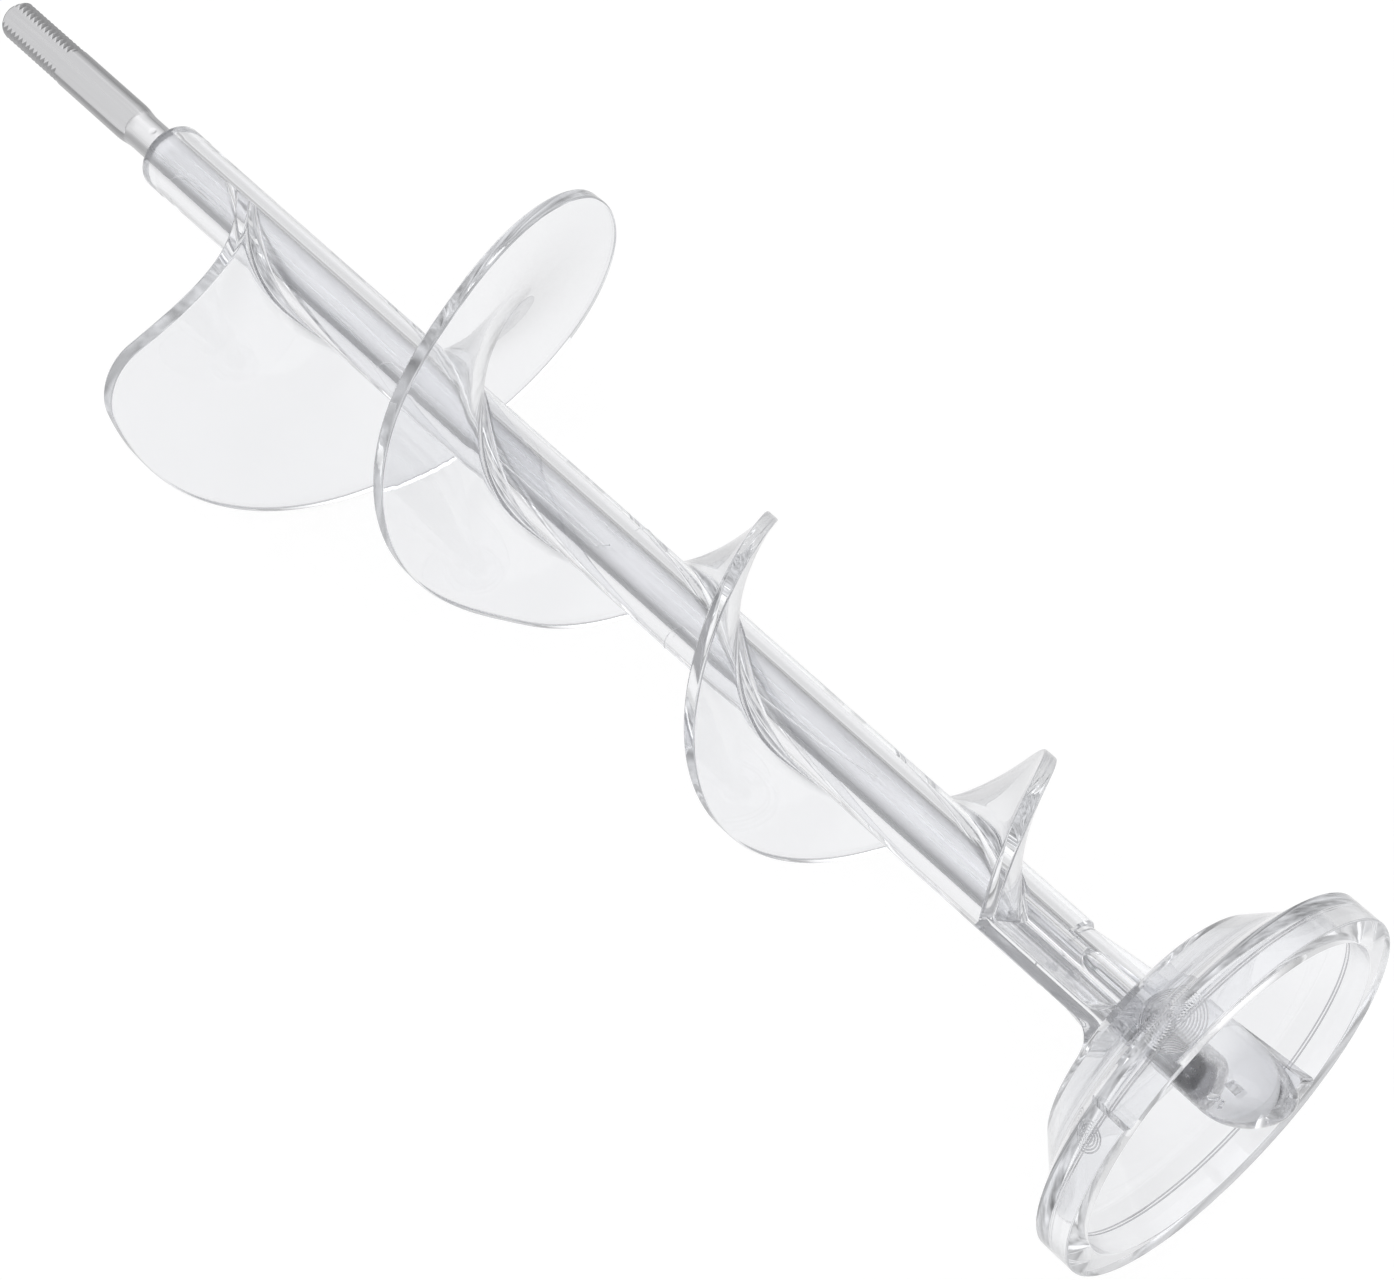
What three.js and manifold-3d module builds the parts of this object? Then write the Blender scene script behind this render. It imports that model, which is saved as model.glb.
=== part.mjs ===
// Ice dispenser auger: a clear moulded screw and drive cup over a steel drive shaft.
//
// The auger lies along X. The shaft tip points to -X, the drive cup opens to +X, and Z is up.
// The origin is on the rotation axis in the plane of the cup's rim. A station is a distance along
// the axis from the shaft tip, and a roll is an angle about +X from +Y towards +Z. Sizes are in
// millimetres and angles in degrees.
//
// The screw, sleeve, vane, cup and dog are one moulding on the real auger. Each of its features is
// a solid of its own here, so that the ice channel between the turns stays open.

import * as THREE from 'three';
import { mergeVertices } from 'three/addons/utils/BufferGeometryUtils.js';
import Module from 'manifold-3d';

const wasm = await Module();
wasm.setup();

// Where features touch, their solids stay this far apart.
const CLEARANCE = 0.3;

// Stations along the screw, from the shaft tip
const SLEEVE_START = 65;
const FLIGHT_START = 99.4;
const TAPER_START = 173.3;
const SHOULDER_START = 189.7;
const SHOULDER_END = 193.7;
const TAPER_END = 221.3;

// Lengths at the drive end, which follows the shaft's nose
const NOSE_REACH = 15.6;
const CUP_DEPTH = 22.3;
const DOG_PROUD = 10.7;
const DOG_TAB_PROUD = 8.4;
const NECK_LENGTH = 24.8;
const VANE_LENGTH = 32.7;

// Drive shaft: a 3/8 inch rod, pressed flat on two sides at its tip
const SHAFT_DIAMETER = 9.525;
const SHAFT_LENGTH = 420;
const SHAFT_NOSE_RADIUS = 4;
const SHAFT_TIP_CHAMFER = 1.6;
const TANG_LENGTH = 50;
const TANG_SHOULDER = 6;
const TANG_FLAT_LENGTH = 54;
const TANG_WIDTH = 10.7;
const TANG_THICKNESS = 7.3;
const TANG_END_RADIUS = 4.46;
const TANG_ROLL = 122;

// Sleeve moulded round the shaft
const SLEEVE_DIAMETER = 17.5;
const SLEEVE_LIP_RADIUS = 2.5;
const SLEEVE_LIP_STEP = 0.15;
const SLEEVE_LIP_LENGTH = 5;
const SLEEVE_END_CHAMFER = 0.5;

// Screw flight, right-handed with a single start
const FLIGHT_PITCH = 88;
const FLIGHT_START_ROLL = 95.24;
const FLIGHT_THICKNESS = 3.4;
const FLIGHT_FILLET = 4;
const FLIGHT_EDGE_CHAMFER = 0.4;
const FRONT_DIAMETER = 120;
const SHOULDER_DIAMETER = 100;
const REAR_DIAMETER = 60;
const LEADING_CORNER_RADIUS = 12;

// Drive vane that carries the flight's end to the cup
const VANE_THICKNESS = 3.6;
const VANE_FLARE_RADIUS = 5.7;

// Drive cup
const NECK_START_RADIUS = 7.8;
const NECK_END_RADIUS = 10;
const NECK_FILLET = 6;
const CUP_WALL = 3;
const CUP_BACK_RADIUS = 30;
const CUP_SHOULDER_RADIUS = 2.5;
const CUP_SLOPE = 43;
const RING_DIAMETER = 95.8;
const RING_FLANGE_RADIUS = 39.6;
const RING_FLANGE_LENGTH = 4.5;
const RING_BORE_RADIUS = 41.6;
const RING_EDGE_RADIUS = 0.9;
const NOTCH_ROLL = 128.6;
const NOTCH_ANGLE = 20.8;
const NOTCH_DEPTH = 3.1;

// Drive dog inside the cup: an eccentric boss with a leaning dome, and a square tab at its side
const DOG_ROLL = 26.24;
const DOG_RADIUS = 9.4;
const DOG_OFFSET_Y = 3.6;
const DOG_OFFSET_Z = -1.2;
const DOG_DOME_LENGTH = 14.5;
const DOG_DOME_LEAN = 2.8;
const DOG_TAB_ROLL = 13.7;
const DOG_TAB_WIDTH = 8.2;
const DOG_TAB_FLARE = 2.2;
const DOG_TAB_CORNER = 1;

// Facets
const ROUND_STEPS = 40;
const CUP_STEPS = 64;
const DOME_STEPS = 8;
const FILLET_STEPS = 4;
const FLIGHT_STEP_ANGLE = 6;

const shaftRadius = SHAFT_DIAMETER / 2;
const boreRadius = shaftRadius + CLEARANCE;
const sleeveRadius = SLEEVE_DIAMETER / 2;
const frontRadius = FRONT_DIAMETER / 2;
const shoulderRadius = SHOULDER_DIAMETER / 2;
const rearRadius = REAR_DIAMETER / 2;
const ringRadius = RING_DIAMETER / 2;
const rootRadius = sleeveRadius + CLEARANCE;
const cupBack = SHAFT_LENGTH - NOSE_REACH;
const rimStation = cupBack + CUP_DEPTH;
const dogEnd = rimStation + DOG_PROUD;
const dogStart = cupBack + CUP_WALL + CLEARANCE;
const neckStart = cupBack - NECK_LENGTH;
const sleeveEnd = neckStart - CLEARANCE;
const flightEnd = cupBack - VANE_LENGTH;
const flightSplit = (TAPER_END + flightEnd) / 2;
const { degToRad, radToDeg, lerp, clamp, smoothstep } = THREE.MathUtils;

const steel = { color: 0xb9bbbd, metalness: 1, roughness: 0.32 };
const clearPlastic = { color: 0xeef0f4, metalness: 0, roughness: 0.06, transparent: true, opacity: 0.35 };

function alongAxis(station) {
  return station - rimStation;
}

function polarPoint(station, radius, roll) {
  const angle = degToRad(roll);
  return new THREE.Vector3(alongAxis(station), radius * Math.cos(angle), radius * Math.sin(angle));
}

function profilePoint(station, radius) {
  return new THREE.Vector2(radius, station);
}

// Points of a round corner in a (radius, station) profile, from one angle to the other.
function profileArc(station, radius, arcRadius, fromAngle, toAngle, steps = FILLET_STEPS) {
  const points = [];
  for (let step = 0; step <= steps; step += 1) {
    const angle = degToRad(lerp(fromAngle, toAngle, step / steps));
    points.push(profilePoint(station + arcRadius * Math.cos(angle), radius + arcRadius * Math.sin(angle)));
  }
  return points;
}

// Turns a (radius, station) profile about the auger's axis.
function revolve(profile, steps = ROUND_STEPS) {
  const geometry = new THREE.LatheGeometry(profile, steps);
  geometry.rotateZ(-Math.PI / 2);
  geometry.translate(alongAxis(0), 0, 0);
  return geometry;
}

// Extrudes a shape drawn in the Y-Z plane from one station to another.
function extrudeAlongAxis(shape, fromStation, toStation, curveSegments = FILLET_STEPS * 4) {
  const geometry = new THREE.ExtrudeGeometry(shape, {
    depth: toStation - fromStation,
    bevelEnabled: false,
    curveSegments,
  });
  geometry.applyMatrix4(new THREE.Matrix4().set(
    0, 0, 1, alongAxis(fromStation),
    1, 0, 0, 0,
    0, 1, 0, 0,
    0, 0, 0, 1,
  ));
  return geometry;
}

function toSolid(geometry) {
  geometry.deleteAttribute('normal');
  geometry.deleteAttribute('uv');
  const merged = mergeVertices(geometry, 1e-4);
  return new wasm.Manifold(new wasm.Mesh({
    numProp: 3,
    vertProperties: Float32Array.from(merged.attributes.position.array),
    triVerts: Uint32Array.from(merged.index.array),
  }));
}

function toGeometry(solid) {
  const mesh = solid.getMesh();
  const geometry = new THREE.BufferGeometry();
  geometry.setAttribute('position', new THREE.BufferAttribute(Float32Array.from(mesh.vertProperties), 3));
  geometry.setIndex(new THREE.BufferAttribute(Uint32Array.from(mesh.triVerts), 1));
  geometry.computeVertexNormals();
  return geometry;
}

function makeMesh(name, geometry, look) {
  const mesh = new THREE.Mesh(geometry, new THREE.MeshStandardMaterial(look));
  mesh.name = name;
  return mesh;
}

// Closes a plate between two grids of points. point(side, row, column) is on the +1 or -1 face,
// where +1 is the side that column direction x row direction points to.
function plate(rowCount, columnCount, point) {
  const positions = [];
  const indices = [];
  for (const side of [1, -1]) {
    for (let row = 0; row < rowCount; row += 1) {
      for (let column = 0; column < columnCount; column += 1) {
        positions.push(...point(side, row, column).toArray());
      }
    }
  }
  const vertex = (side, row, column) => (side > 0 ? 0 : rowCount * columnCount) + row * columnCount + column;
  const quad = (a, b, c, d) => indices.push(a, b, c, a, c, d);
  const lastRow = rowCount - 1;
  const lastColumn = columnCount - 1;
  for (let row = 0; row < lastRow; row += 1) {
    for (let column = 0; column < lastColumn; column += 1) {
      quad(vertex(1, row, column), vertex(1, row, column + 1),
        vertex(1, row + 1, column + 1), vertex(1, row + 1, column));
      quad(vertex(-1, row, column), vertex(-1, row + 1, column),
        vertex(-1, row + 1, column + 1), vertex(-1, row, column + 1));
    }
    quad(vertex(1, row, lastColumn), vertex(-1, row, lastColumn),
      vertex(-1, row + 1, lastColumn), vertex(1, row + 1, lastColumn));
    quad(vertex(1, row, 0), vertex(1, row + 1, 0), vertex(-1, row + 1, 0), vertex(-1, row, 0));
  }
  for (let column = 0; column < lastColumn; column += 1) {
    quad(vertex(1, 0, column), vertex(-1, 0, column), vertex(-1, 0, column + 1), vertex(1, 0, column + 1));
    quad(vertex(1, lastRow, column), vertex(1, lastRow, column + 1),
      vertex(-1, lastRow, column + 1), vertex(-1, lastRow, column));
  }
  const geometry = new THREE.BufferGeometry();
  geometry.setAttribute('position', new THREE.Float32BufferAttribute(positions, 3));
  geometry.setIndex(indices);
  geometry.computeVertexNormals();
  return geometry;
}

// Drive shaft: the round rod with a rounded nose, and the wider double-D tang at its tip.
function shaftGeometry() {
  const rod = toSolid(revolve([
    profilePoint(0, 0),
    profilePoint(0, shaftRadius - SHAFT_TIP_CHAMFER),
    profilePoint(SHAFT_TIP_CHAMFER, shaftRadius),
    ...noseProfile(0),
  ]));
  const halfWidth = TANG_WIDTH / 2;
  const arcCentre = halfWidth - TANG_END_RADIUS;
  const section = new THREE.Shape();
  section.absarc(arcCentre, 0, TANG_END_RADIUS, -Math.PI / 2, Math.PI / 2);
  section.absarc(-arcCentre, 0, TANG_END_RADIUS, Math.PI / 2, 3 * Math.PI / 2);
  const widening = toSolid(revolve([
    profilePoint(0, 0),
    profilePoint(0, halfWidth - SHAFT_TIP_CHAMFER),
    profilePoint(SHAFT_TIP_CHAMFER, halfWidth),
    profilePoint(TANG_LENGTH, halfWidth),
    profilePoint(TANG_LENGTH + TANG_SHOULDER, shaftRadius - CLEARANCE),
    profilePoint(TANG_LENGTH + TANG_SHOULDER, 0),
  ]));
  const tang = toSolid(extrudeAlongAxis(section, 0, TANG_LENGTH + TANG_SHOULDER)).intersect(widening);
  let shaft = rod.add(tang);
  for (const side of [1, -1]) {
    const cutter = new THREE.BoxGeometry(TANG_FLAT_LENGTH * 2, TANG_WIDTH * 2, TANG_THICKNESS);
    cutter.translate(alongAxis(0), 0, side * TANG_THICKNESS);
    shaft = shaft.subtract(toSolid(cutter));
  }
  const geometry = toGeometry(shaft);
  geometry.rotateX(degToRad(TANG_ROLL - 90));
  return geometry;
}

// Profile of the shaft's rounded nose, grown by a margin all round.
function noseProfile(margin) {
  const noseStation = SHAFT_LENGTH - SHAFT_NOSE_RADIUS;
  const noseCentre = shaftRadius - SHAFT_NOSE_RADIUS;
  return [
    ...profileArc(noseStation, noseCentre, SHAFT_NOSE_RADIUS + margin, 90, 0),
    profilePoint(SHAFT_LENGTH + margin, 0),
  ];
}

// Sleeve: a tube round the shaft with a rounded lip at its tip end.
function sleeveGeometry() {
  const lipRadius = sleeveRadius + SLEEVE_LIP_STEP;
  const lipCorner = lipRadius - SLEEVE_LIP_RADIUS;
  const lipEnd = SLEEVE_START + SLEEVE_LIP_RADIUS + SLEEVE_LIP_LENGTH;
  return revolve([
    profilePoint(SLEEVE_START, boreRadius),
    ...profileArc(SLEEVE_START + SLEEVE_LIP_RADIUS, lipCorner, SLEEVE_LIP_RADIUS, 180, 90),
    profilePoint(lipEnd, lipRadius),
    profilePoint(lipEnd + SLEEVE_LIP_STEP, sleeveRadius),
    profilePoint(sleeveEnd - SLEEVE_END_CHAMFER, sleeveRadius),
    profilePoint(sleeveEnd, sleeveRadius - SLEEVE_END_CHAMFER),
    profilePoint(sleeveEnd, boreRadius),
    profilePoint(SLEEVE_START, boreRadius),
  ]);
}

// The turn is the roll since the flight's straight leading edge left the root fillet.
function flightStation(turn) {
  return FLIGHT_START + FLIGHT_PITCH * turn / 360;
}

function flightTurn(station) {
  return 360 * (station - FLIGHT_START) / FLIGHT_PITCH;
}

const vaneRoll = FLIGHT_START_ROLL + flightTurn(flightEnd);

// How much one side of a filleted plate grows at a distance from the wall it stands on.
function filletGrowth(distance, radius) {
  const inside = clamp(radius - distance, 0, radius);
  return radius - Math.sqrt(radius * radius - inside * inside);
}

// Half the flight's thickness along the axis: the plate is equally thick square to its own slope.
function flightHalfThickness(radius) {
  const slope = FLIGHT_PITCH / (2 * Math.PI * radius);
  const half = FLIGHT_THICKNESS / 2 + filletGrowth(radius - sleeveRadius, FLIGHT_FILLET);
  return half * Math.hypot(1, slope);
}

// The leading edge: straight and tangent to the root fillet, with a round corner at the rim.
const leadingDistance = sleeveRadius + FLIGHT_FILLET;
const cornerCentre = frontRadius - LEADING_CORNER_RADIUS;
const cornerTurn = radToDeg(Math.acos((leadingDistance - LEADING_CORNER_RADIUS) / cornerCentre));
const straightLength = Math.sqrt(cornerCentre ** 2 - (leadingDistance - LEADING_CORNER_RADIUS) ** 2);
const straightTurn = radToDeg(Math.atan2(straightLength, leadingDistance));
const blendTurn = radToDeg(FLIGHT_FILLET / 2 / leadingDistance);

function leadingEdgeRadius(turn) {
  if (turn < 0) {
    return sleeveRadius + filletGrowth(leadingDistance * degToRad(-turn), FLIGHT_FILLET);
  }
  if (turn < straightTurn) {
    return leadingDistance / Math.cos(degToRad(turn));
  }
  if (turn < cornerTurn) {
    const offset = degToRad(turn - cornerTurn);
    const reach = Math.sqrt(LEADING_CORNER_RADIUS ** 2 - (cornerCentre * Math.sin(offset)) ** 2);
    return cornerCentre * Math.cos(offset) + reach;
  }
  return frontRadius;
}

// Past the leading edge the rim narrows in two smooth steps, with a short shoulder between them.
function flightRadius(turn) {
  const station = flightStation(turn);
  const front = lerp(frontRadius, shoulderRadius, smoothstep(station, TAPER_START, SHOULDER_START));
  const rim = lerp(front, rearRadius, smoothstep(station, SHOULDER_END, TAPER_END));
  return Math.min(leadingEdgeRadius(turn), rim);
}

// Radii where a plate on the sleeve has its points: the root fillet, the web and the rim's chamfer.
function plateRadii(rimRadius) {
  const height = rimRadius - rootRadius;
  const scale = Math.min(1, height / (FLIGHT_FILLET + FLIGHT_EDGE_CHAMFER));
  const filletTop = rootRadius + FLIGHT_FILLET * scale;
  const chamfer = rimRadius - FLIGHT_EDGE_CHAMFER * scale;
  const webStep = (chamfer / filletTop) ** (1 / 3);
  return [
    ...[0, 0.15, 0.45, 1].map((share) => rootRadius + FLIGHT_FILLET * scale * share),
    filletTop * webStep,
    filletTop * webStep ** 2,
    chamfer,
    rimRadius,
  ];
}

function turnsBetween(fromTurn, toTurn, count) {
  return Array.from({ length: count }, (_, index) => lerp(fromTurn, toTurn, index / count));
}

// One stretch of the flight. The turns list its rows, and its open ends keep half the clearance.
function flightGeometry(turns) {
  const last = turns.length - 1;
  const columnCount = plateRadii(frontRadius).length;
  return plate(turns.length, columnCount, (side, row, column) => {
    const rim = flightRadius(turns[row]);
    const radius = plateRadii(rim)[column];
    const chamfer = column === columnCount - 1 ? FLIGHT_EDGE_CHAMFER : 0;
    const inset = radToDeg(CLEARANCE / 2 / radius);
    const turn = turns[row] + (row === 0 ? inset : 0) - (row === last ? inset : 0);
    const station = flightStation(turn) + side * (flightHalfThickness(radius) - chamfer);
    return polarPoint(station, radius, FLIGHT_START_ROLL + turn);
  });
}

function evenTurns(fromTurn, toTurn) {
  const count = Math.ceil((toTurn - fromTurn) / FLIGHT_STEP_ANGLE);
  return [...turnsBetween(fromTurn, toTurn, count), toTurn];
}

function frontFlightGeometry() {
  return flightGeometry([
    ...turnsBetween(-blendTurn, 0, 3),
    ...turnsBetween(0, straightTurn, 12),
    ...turnsBetween(straightTurn, cornerTurn, 4),
    ...evenTurns(cornerTurn, flightTurn(TAPER_START)),
  ]);
}

// The last stretch of the flight ends on the side of the vane.
function rearFlightGeometry() {
  const flight = toSolid(flightGeometry(evenTurns(flightTurn(flightSplit), flightTurn(flightEnd))));
  return toGeometry(flight.subtract(vaneSolid(CLEARANCE)));
}

// Vane: a radial plate from the flight's end to the cup's back, flared where it meets the cup. Its
// front edge has the flight's section. A margin makes it thicker all round.
function vaneSolid(margin) {
  const flare = VANE_FLARE_RADIUS;
  const distances = [0, 0.04, 0.15, 0.4, 1].map((share) => share * flare);
  const radii = [NECK_START_RADIUS - CLEARANCE, ...plateRadii(rearRadius)];
  const lastRow = distances.length;
  const geometry = plate(lastRow + 1, radii.length, (side, row, column) => {
    const radius = radii[column] + (column === radii.length - 1 ? margin : 0);
    const startStation = flightEnd - flightHalfThickness(radii[column]) - margin;
    const station = row === lastRow ? startStation : cupBack - distances[row];
    const foot = filletGrowth(cupBack - station, flare);
    const root = filletGrowth(radius - sleeveRadius, FLIGHT_FILLET);
    const point = polarPoint(station, radius, 0);
    point.y = radius;
    point.z = side * (VANE_THICKNESS / 2 + foot + root + margin);
    return point;
  });
  geometry.rotateX(degToRad(vaneRoll));
  return toSolid(geometry);
}

function vaneGeometry() {
  const body = revolve([
    profilePoint(FLIGHT_START, 0),
    profilePoint(FLIGHT_START, rootRadius),
    profilePoint(neckStart, rootRadius),
    ...cupBackProfile(CLEARANCE),
    profilePoint(rimStation, frontRadius),
    profilePoint(rimStation, 0),
  ]);
  return toGeometry(vaneSolid(0).subtract(toSolid(body)));
}

// Outside of the neck and the cup's flat back, grown by a margin.
function cupBackProfile(margin) {
  return [
    profilePoint(neckStart, NECK_START_RADIUS + margin),
    ...profileArc(cupBack - NECK_FILLET, NECK_END_RADIUS + NECK_FILLET, NECK_FILLET - margin, -90, 0),
    profilePoint(cupBack - margin, CUP_BACK_RADIUS + margin),
  ];
}

// Cup: a neck, a flat back, a sloping wall and a thick rim ring, turned in one profile.
function cupGeometry() {
  const slope = degToRad(CUP_SLOPE);
  const bendStation = cupBack + CUP_SHOULDER_RADIUS * (1 - Math.sin(slope));
  const bendRadius = CUP_BACK_RADIUS + CUP_SHOULDER_RADIUS * Math.cos(slope);
  const flangeStation = bendStation + (RING_FLANGE_RADIUS - bendRadius) / Math.tan(slope);
  const floorStation = cupBack + CUP_WALL;
  const innerStation = bendStation + CUP_WALL * Math.sin(slope);
  const innerRadius = bendRadius - CUP_WALL * Math.cos(slope);
  const floorRadius = innerRadius + (floorStation - innerStation) * Math.tan(slope);
  const ledgeStation = innerStation + (RING_BORE_RADIUS - innerRadius) / Math.tan(slope);
  const bendCentre = cupBack + CUP_SHOULDER_RADIUS;
  const cup = toSolid(revolve([
    profilePoint(neckStart, boreRadius),
    ...cupBackProfile(0).slice(0, -1),
    ...profileArc(bendCentre, CUP_BACK_RADIUS, CUP_SHOULDER_RADIUS, 180, 90 + CUP_SLOPE),
    profilePoint(flangeStation, RING_FLANGE_RADIUS),
    profilePoint(flangeStation + RING_FLANGE_LENGTH, ringRadius),
    ...profileArc(rimStation - RING_EDGE_RADIUS, ringRadius - RING_EDGE_RADIUS, RING_EDGE_RADIUS, 90, 0, 2),
    profilePoint(rimStation, RING_BORE_RADIUS),
    profilePoint(ledgeStation, RING_BORE_RADIUS),
    profilePoint(floorStation, floorRadius),
    profilePoint(floorStation, boreRadius),
    profilePoint(neckStart, boreRadius),
  ], CUP_STEPS));
  const halfAngle = degToRad(NOTCH_ANGLE / 2);
  const sector = new THREE.Shape();
  sector.absarc(0, 0, ringRadius - NOTCH_DEPTH, -halfAngle, halfAngle);
  sector.absarc(0, 0, ringRadius + NOTCH_DEPTH, halfAngle, -halfAngle, true);
  const cutter = extrudeAlongAxis(sector, flangeStation, rimStation + NOTCH_DEPTH);
  cutter.rotateX(degToRad(NOTCH_ROLL));
  return toGeometry(cup.subtract(toSolid(cutter)));
}

// Boss of the dog: a round post whose domed end leans more and more towards the tab.
function dogBossGeometry() {
  const domeStart = dogEnd - DOG_DOME_LENGTH;
  const dome = Array.from({ length: DOME_STEPS + 1 }, (_, step) => {
    const angle = Math.PI / 2 * step / DOME_STEPS;
    return profilePoint(domeStart + DOG_DOME_LENGTH * Math.sin(angle), DOG_RADIUS * Math.cos(angle));
  });
  const boss = revolve([profilePoint(dogStart, 0), profilePoint(dogStart, DOG_RADIUS), ...dome]);
  const points = boss.attributes.position;
  for (let index = 0; index < points.count; index += 1) {
    const rise = Math.max(0, points.getX(index) - alongAxis(domeStart)) / DOG_DOME_LENGTH;
    points.setY(index, points.getY(index) + DOG_DOME_LEAN * rise * rise);
  }
  return boss;
}

// Tab of the dog: its outer face leaves the boss as a tangent and flares towards the open end.
function dogTabGeometry() {
  const tabEnd = alongAxis(rimStation + DOG_TAB_PROUD);
  const outline = new THREE.Shape();
  outline.moveTo(alongAxis(dogStart), 0);
  outline.lineTo(tabEnd, 0);
  outline.absarc(tabEnd - DOG_TAB_CORNER, DOG_RADIUS - DOG_TAB_CORNER, DOG_TAB_CORNER, 0, Math.PI / 2);
  outline.lineTo(alongAxis(dogStart), DOG_RADIUS - DOG_TAB_FLARE);
  const tab = new THREE.ExtrudeGeometry(outline, {
    depth: DOG_TAB_WIDTH,
    bevelEnabled: false,
    curveSegments: FILLET_STEPS,
  });
  tab.translate(0, 0, -DOG_TAB_WIDTH);
  tab.rotateX(degToRad(DOG_TAB_ROLL));
  return tab;
}

// Dog: the boss and its tab, bored for the shaft's nose.
function dogGeometry() {
  const body = toSolid(dogBossGeometry()).add(toSolid(dogTabGeometry()));
  const bore = toSolid(revolve([
    profilePoint(dogStart - CLEARANCE, 0),
    profilePoint(dogStart - CLEARANCE, boreRadius),
    ...noseProfile(CLEARANCE),
  ]));
  const geometry = toGeometry(body.translate(0, DOG_OFFSET_Y, DOG_OFFSET_Z).subtract(bore));
  geometry.rotateX(degToRad(DOG_ROLL));
  return geometry;
}

const taperTurns = evenTurns(flightTurn(TAPER_START), flightTurn(TAPER_END));
const middleTurns = evenTurns(flightTurn(TAPER_END), flightTurn(flightSplit));
const auger = new THREE.Group();
auger.add(
  makeMesh('drive_shaft', shaftGeometry(), steel),
  makeMesh('shaft_sleeve', sleeveGeometry(), clearPlastic),
  makeMesh('front_flight', frontFlightGeometry(), clearPlastic),
  makeMesh('taper_flight', flightGeometry(taperTurns), clearPlastic),
  makeMesh('middle_flight', flightGeometry(middleTurns), clearPlastic),
  makeMesh('rear_flight', rearFlightGeometry(), clearPlastic),
  makeMesh('drive_vane', vaneGeometry(), clearPlastic),
  makeMesh('drive_cup', cupGeometry(), clearPlastic),
  makeMesh('drive_dog', dogGeometry(), clearPlastic),
);

export default auger;
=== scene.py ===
"""Ice dispenser auger: a clear moulded screw, vane, drive cup and dog over a threaded steel shaft.

The auger lies along X in metres, with its tip towards -X and its drive cup open towards +X. The
origin is on the axis in the plane of the cup's rim. A station is a distance along the axis from the
shaft's tip, and a roll is an angle about +X from +Y towards +Z.
"""

from math import acos, atan2, cos, degrees, hypot, pi, radians, sin, sqrt, tan

import bmesh
import bpy
import numpy as np
from bpy.props import FloatProperty, FloatVectorProperty, PointerProperty
from mathutils import Matrix, Vector


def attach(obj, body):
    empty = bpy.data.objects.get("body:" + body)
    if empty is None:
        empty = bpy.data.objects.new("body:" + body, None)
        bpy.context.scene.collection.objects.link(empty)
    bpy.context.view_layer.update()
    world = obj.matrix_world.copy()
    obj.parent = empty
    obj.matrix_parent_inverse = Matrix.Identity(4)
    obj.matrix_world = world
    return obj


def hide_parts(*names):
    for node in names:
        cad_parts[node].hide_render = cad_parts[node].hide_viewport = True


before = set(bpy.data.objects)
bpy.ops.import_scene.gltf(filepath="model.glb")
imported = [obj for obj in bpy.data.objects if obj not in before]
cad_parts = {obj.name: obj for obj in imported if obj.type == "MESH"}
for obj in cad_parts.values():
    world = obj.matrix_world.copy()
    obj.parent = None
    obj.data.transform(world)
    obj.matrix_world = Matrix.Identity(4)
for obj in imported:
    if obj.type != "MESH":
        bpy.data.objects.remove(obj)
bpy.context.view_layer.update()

bl_info = {
    "name": "Ice dispenser auger",
    "version": (1, 0, 0),
    "blender": (4, 5, 0),
    "location": "3D View > Sidebar > Auger",
    "description": "Builds a clear moulded auger on its steel drive shaft",
    "category": "Object",
}

MM = 0.001
BODY = "root"
# Distances under which points are merged, in a raw mesh and in a finished piece
WELD = 1e-7
PIECE_WELD = 2e-6
# Angles in degrees past which an edge is drawn sharp
STEEL_SHARP_ANGLE = 35
PLASTIC_SHARP_ANGLE = 32


# ---- Sizes and colours ----

def length(name, millimetres, description):
    """A length that the user gives in scene units."""
    return FloatProperty(
        name=name, description=description, default=millimetres * MM, min=0.0, unit="LENGTH")


def turning(name, value, description):
    """An angle that the user gives in degrees."""
    return FloatProperty(name=name, description=description, default=radians(value), unit="ROTATION")


class AugerShaftSizes(bpy.types.PropertyGroup):
    """Sizes of the steel shaft."""

    diameter: length("Diameter", 9.525, "Diameter of the round bar")
    reach: length("Length", 420.0, "Length from the threaded tip to the nose")
    nose_radius: length("Nose radius", 4.0, "Rounding of the end inside the drive dog")
    tip_chamfer: length("Tip chamfer", 1.6, "Chamfer of the threaded tip")
    tang_width: length("Tang width", 10.7, "Width across the tang's two round edges")
    tang_thickness: length("Tang thickness", 7.3, "Thickness between the tang's two flats")
    tang_end_radius: length("Tang edge radius", 4.46, "Radius of the tang's round edges")
    tang_reach: length("Tang length", 50.0, "Length at full width")
    tang_shoulder: length("Tang shoulder", 6.0, "Length over which the tang narrows to the bar")
    flat_reach: length("Flat length", 54.0, "Length of the two flats")
    tang_roll: turning("Tang roll", 122.0, "Direction that the upper flat faces")
    step_bow: length("Step bow", 1.3, "Distance that the flats' ends bow towards the tip")
    thread_pitch: length("Thread pitch", 1.5875, "Pitch of the thread on the tang's edges")
    thread_depth: length("Thread depth", 0.95, "Depth of the thread")
    thread_reach: length("Thread length", 25.2, "Length of the thread from the tip")
    mark_station: length("Mark station", 60.6, "Station of the round punch mark")
    mark_roll: turning("Mark roll", 95.8, "Direction of the round punch mark")


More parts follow.
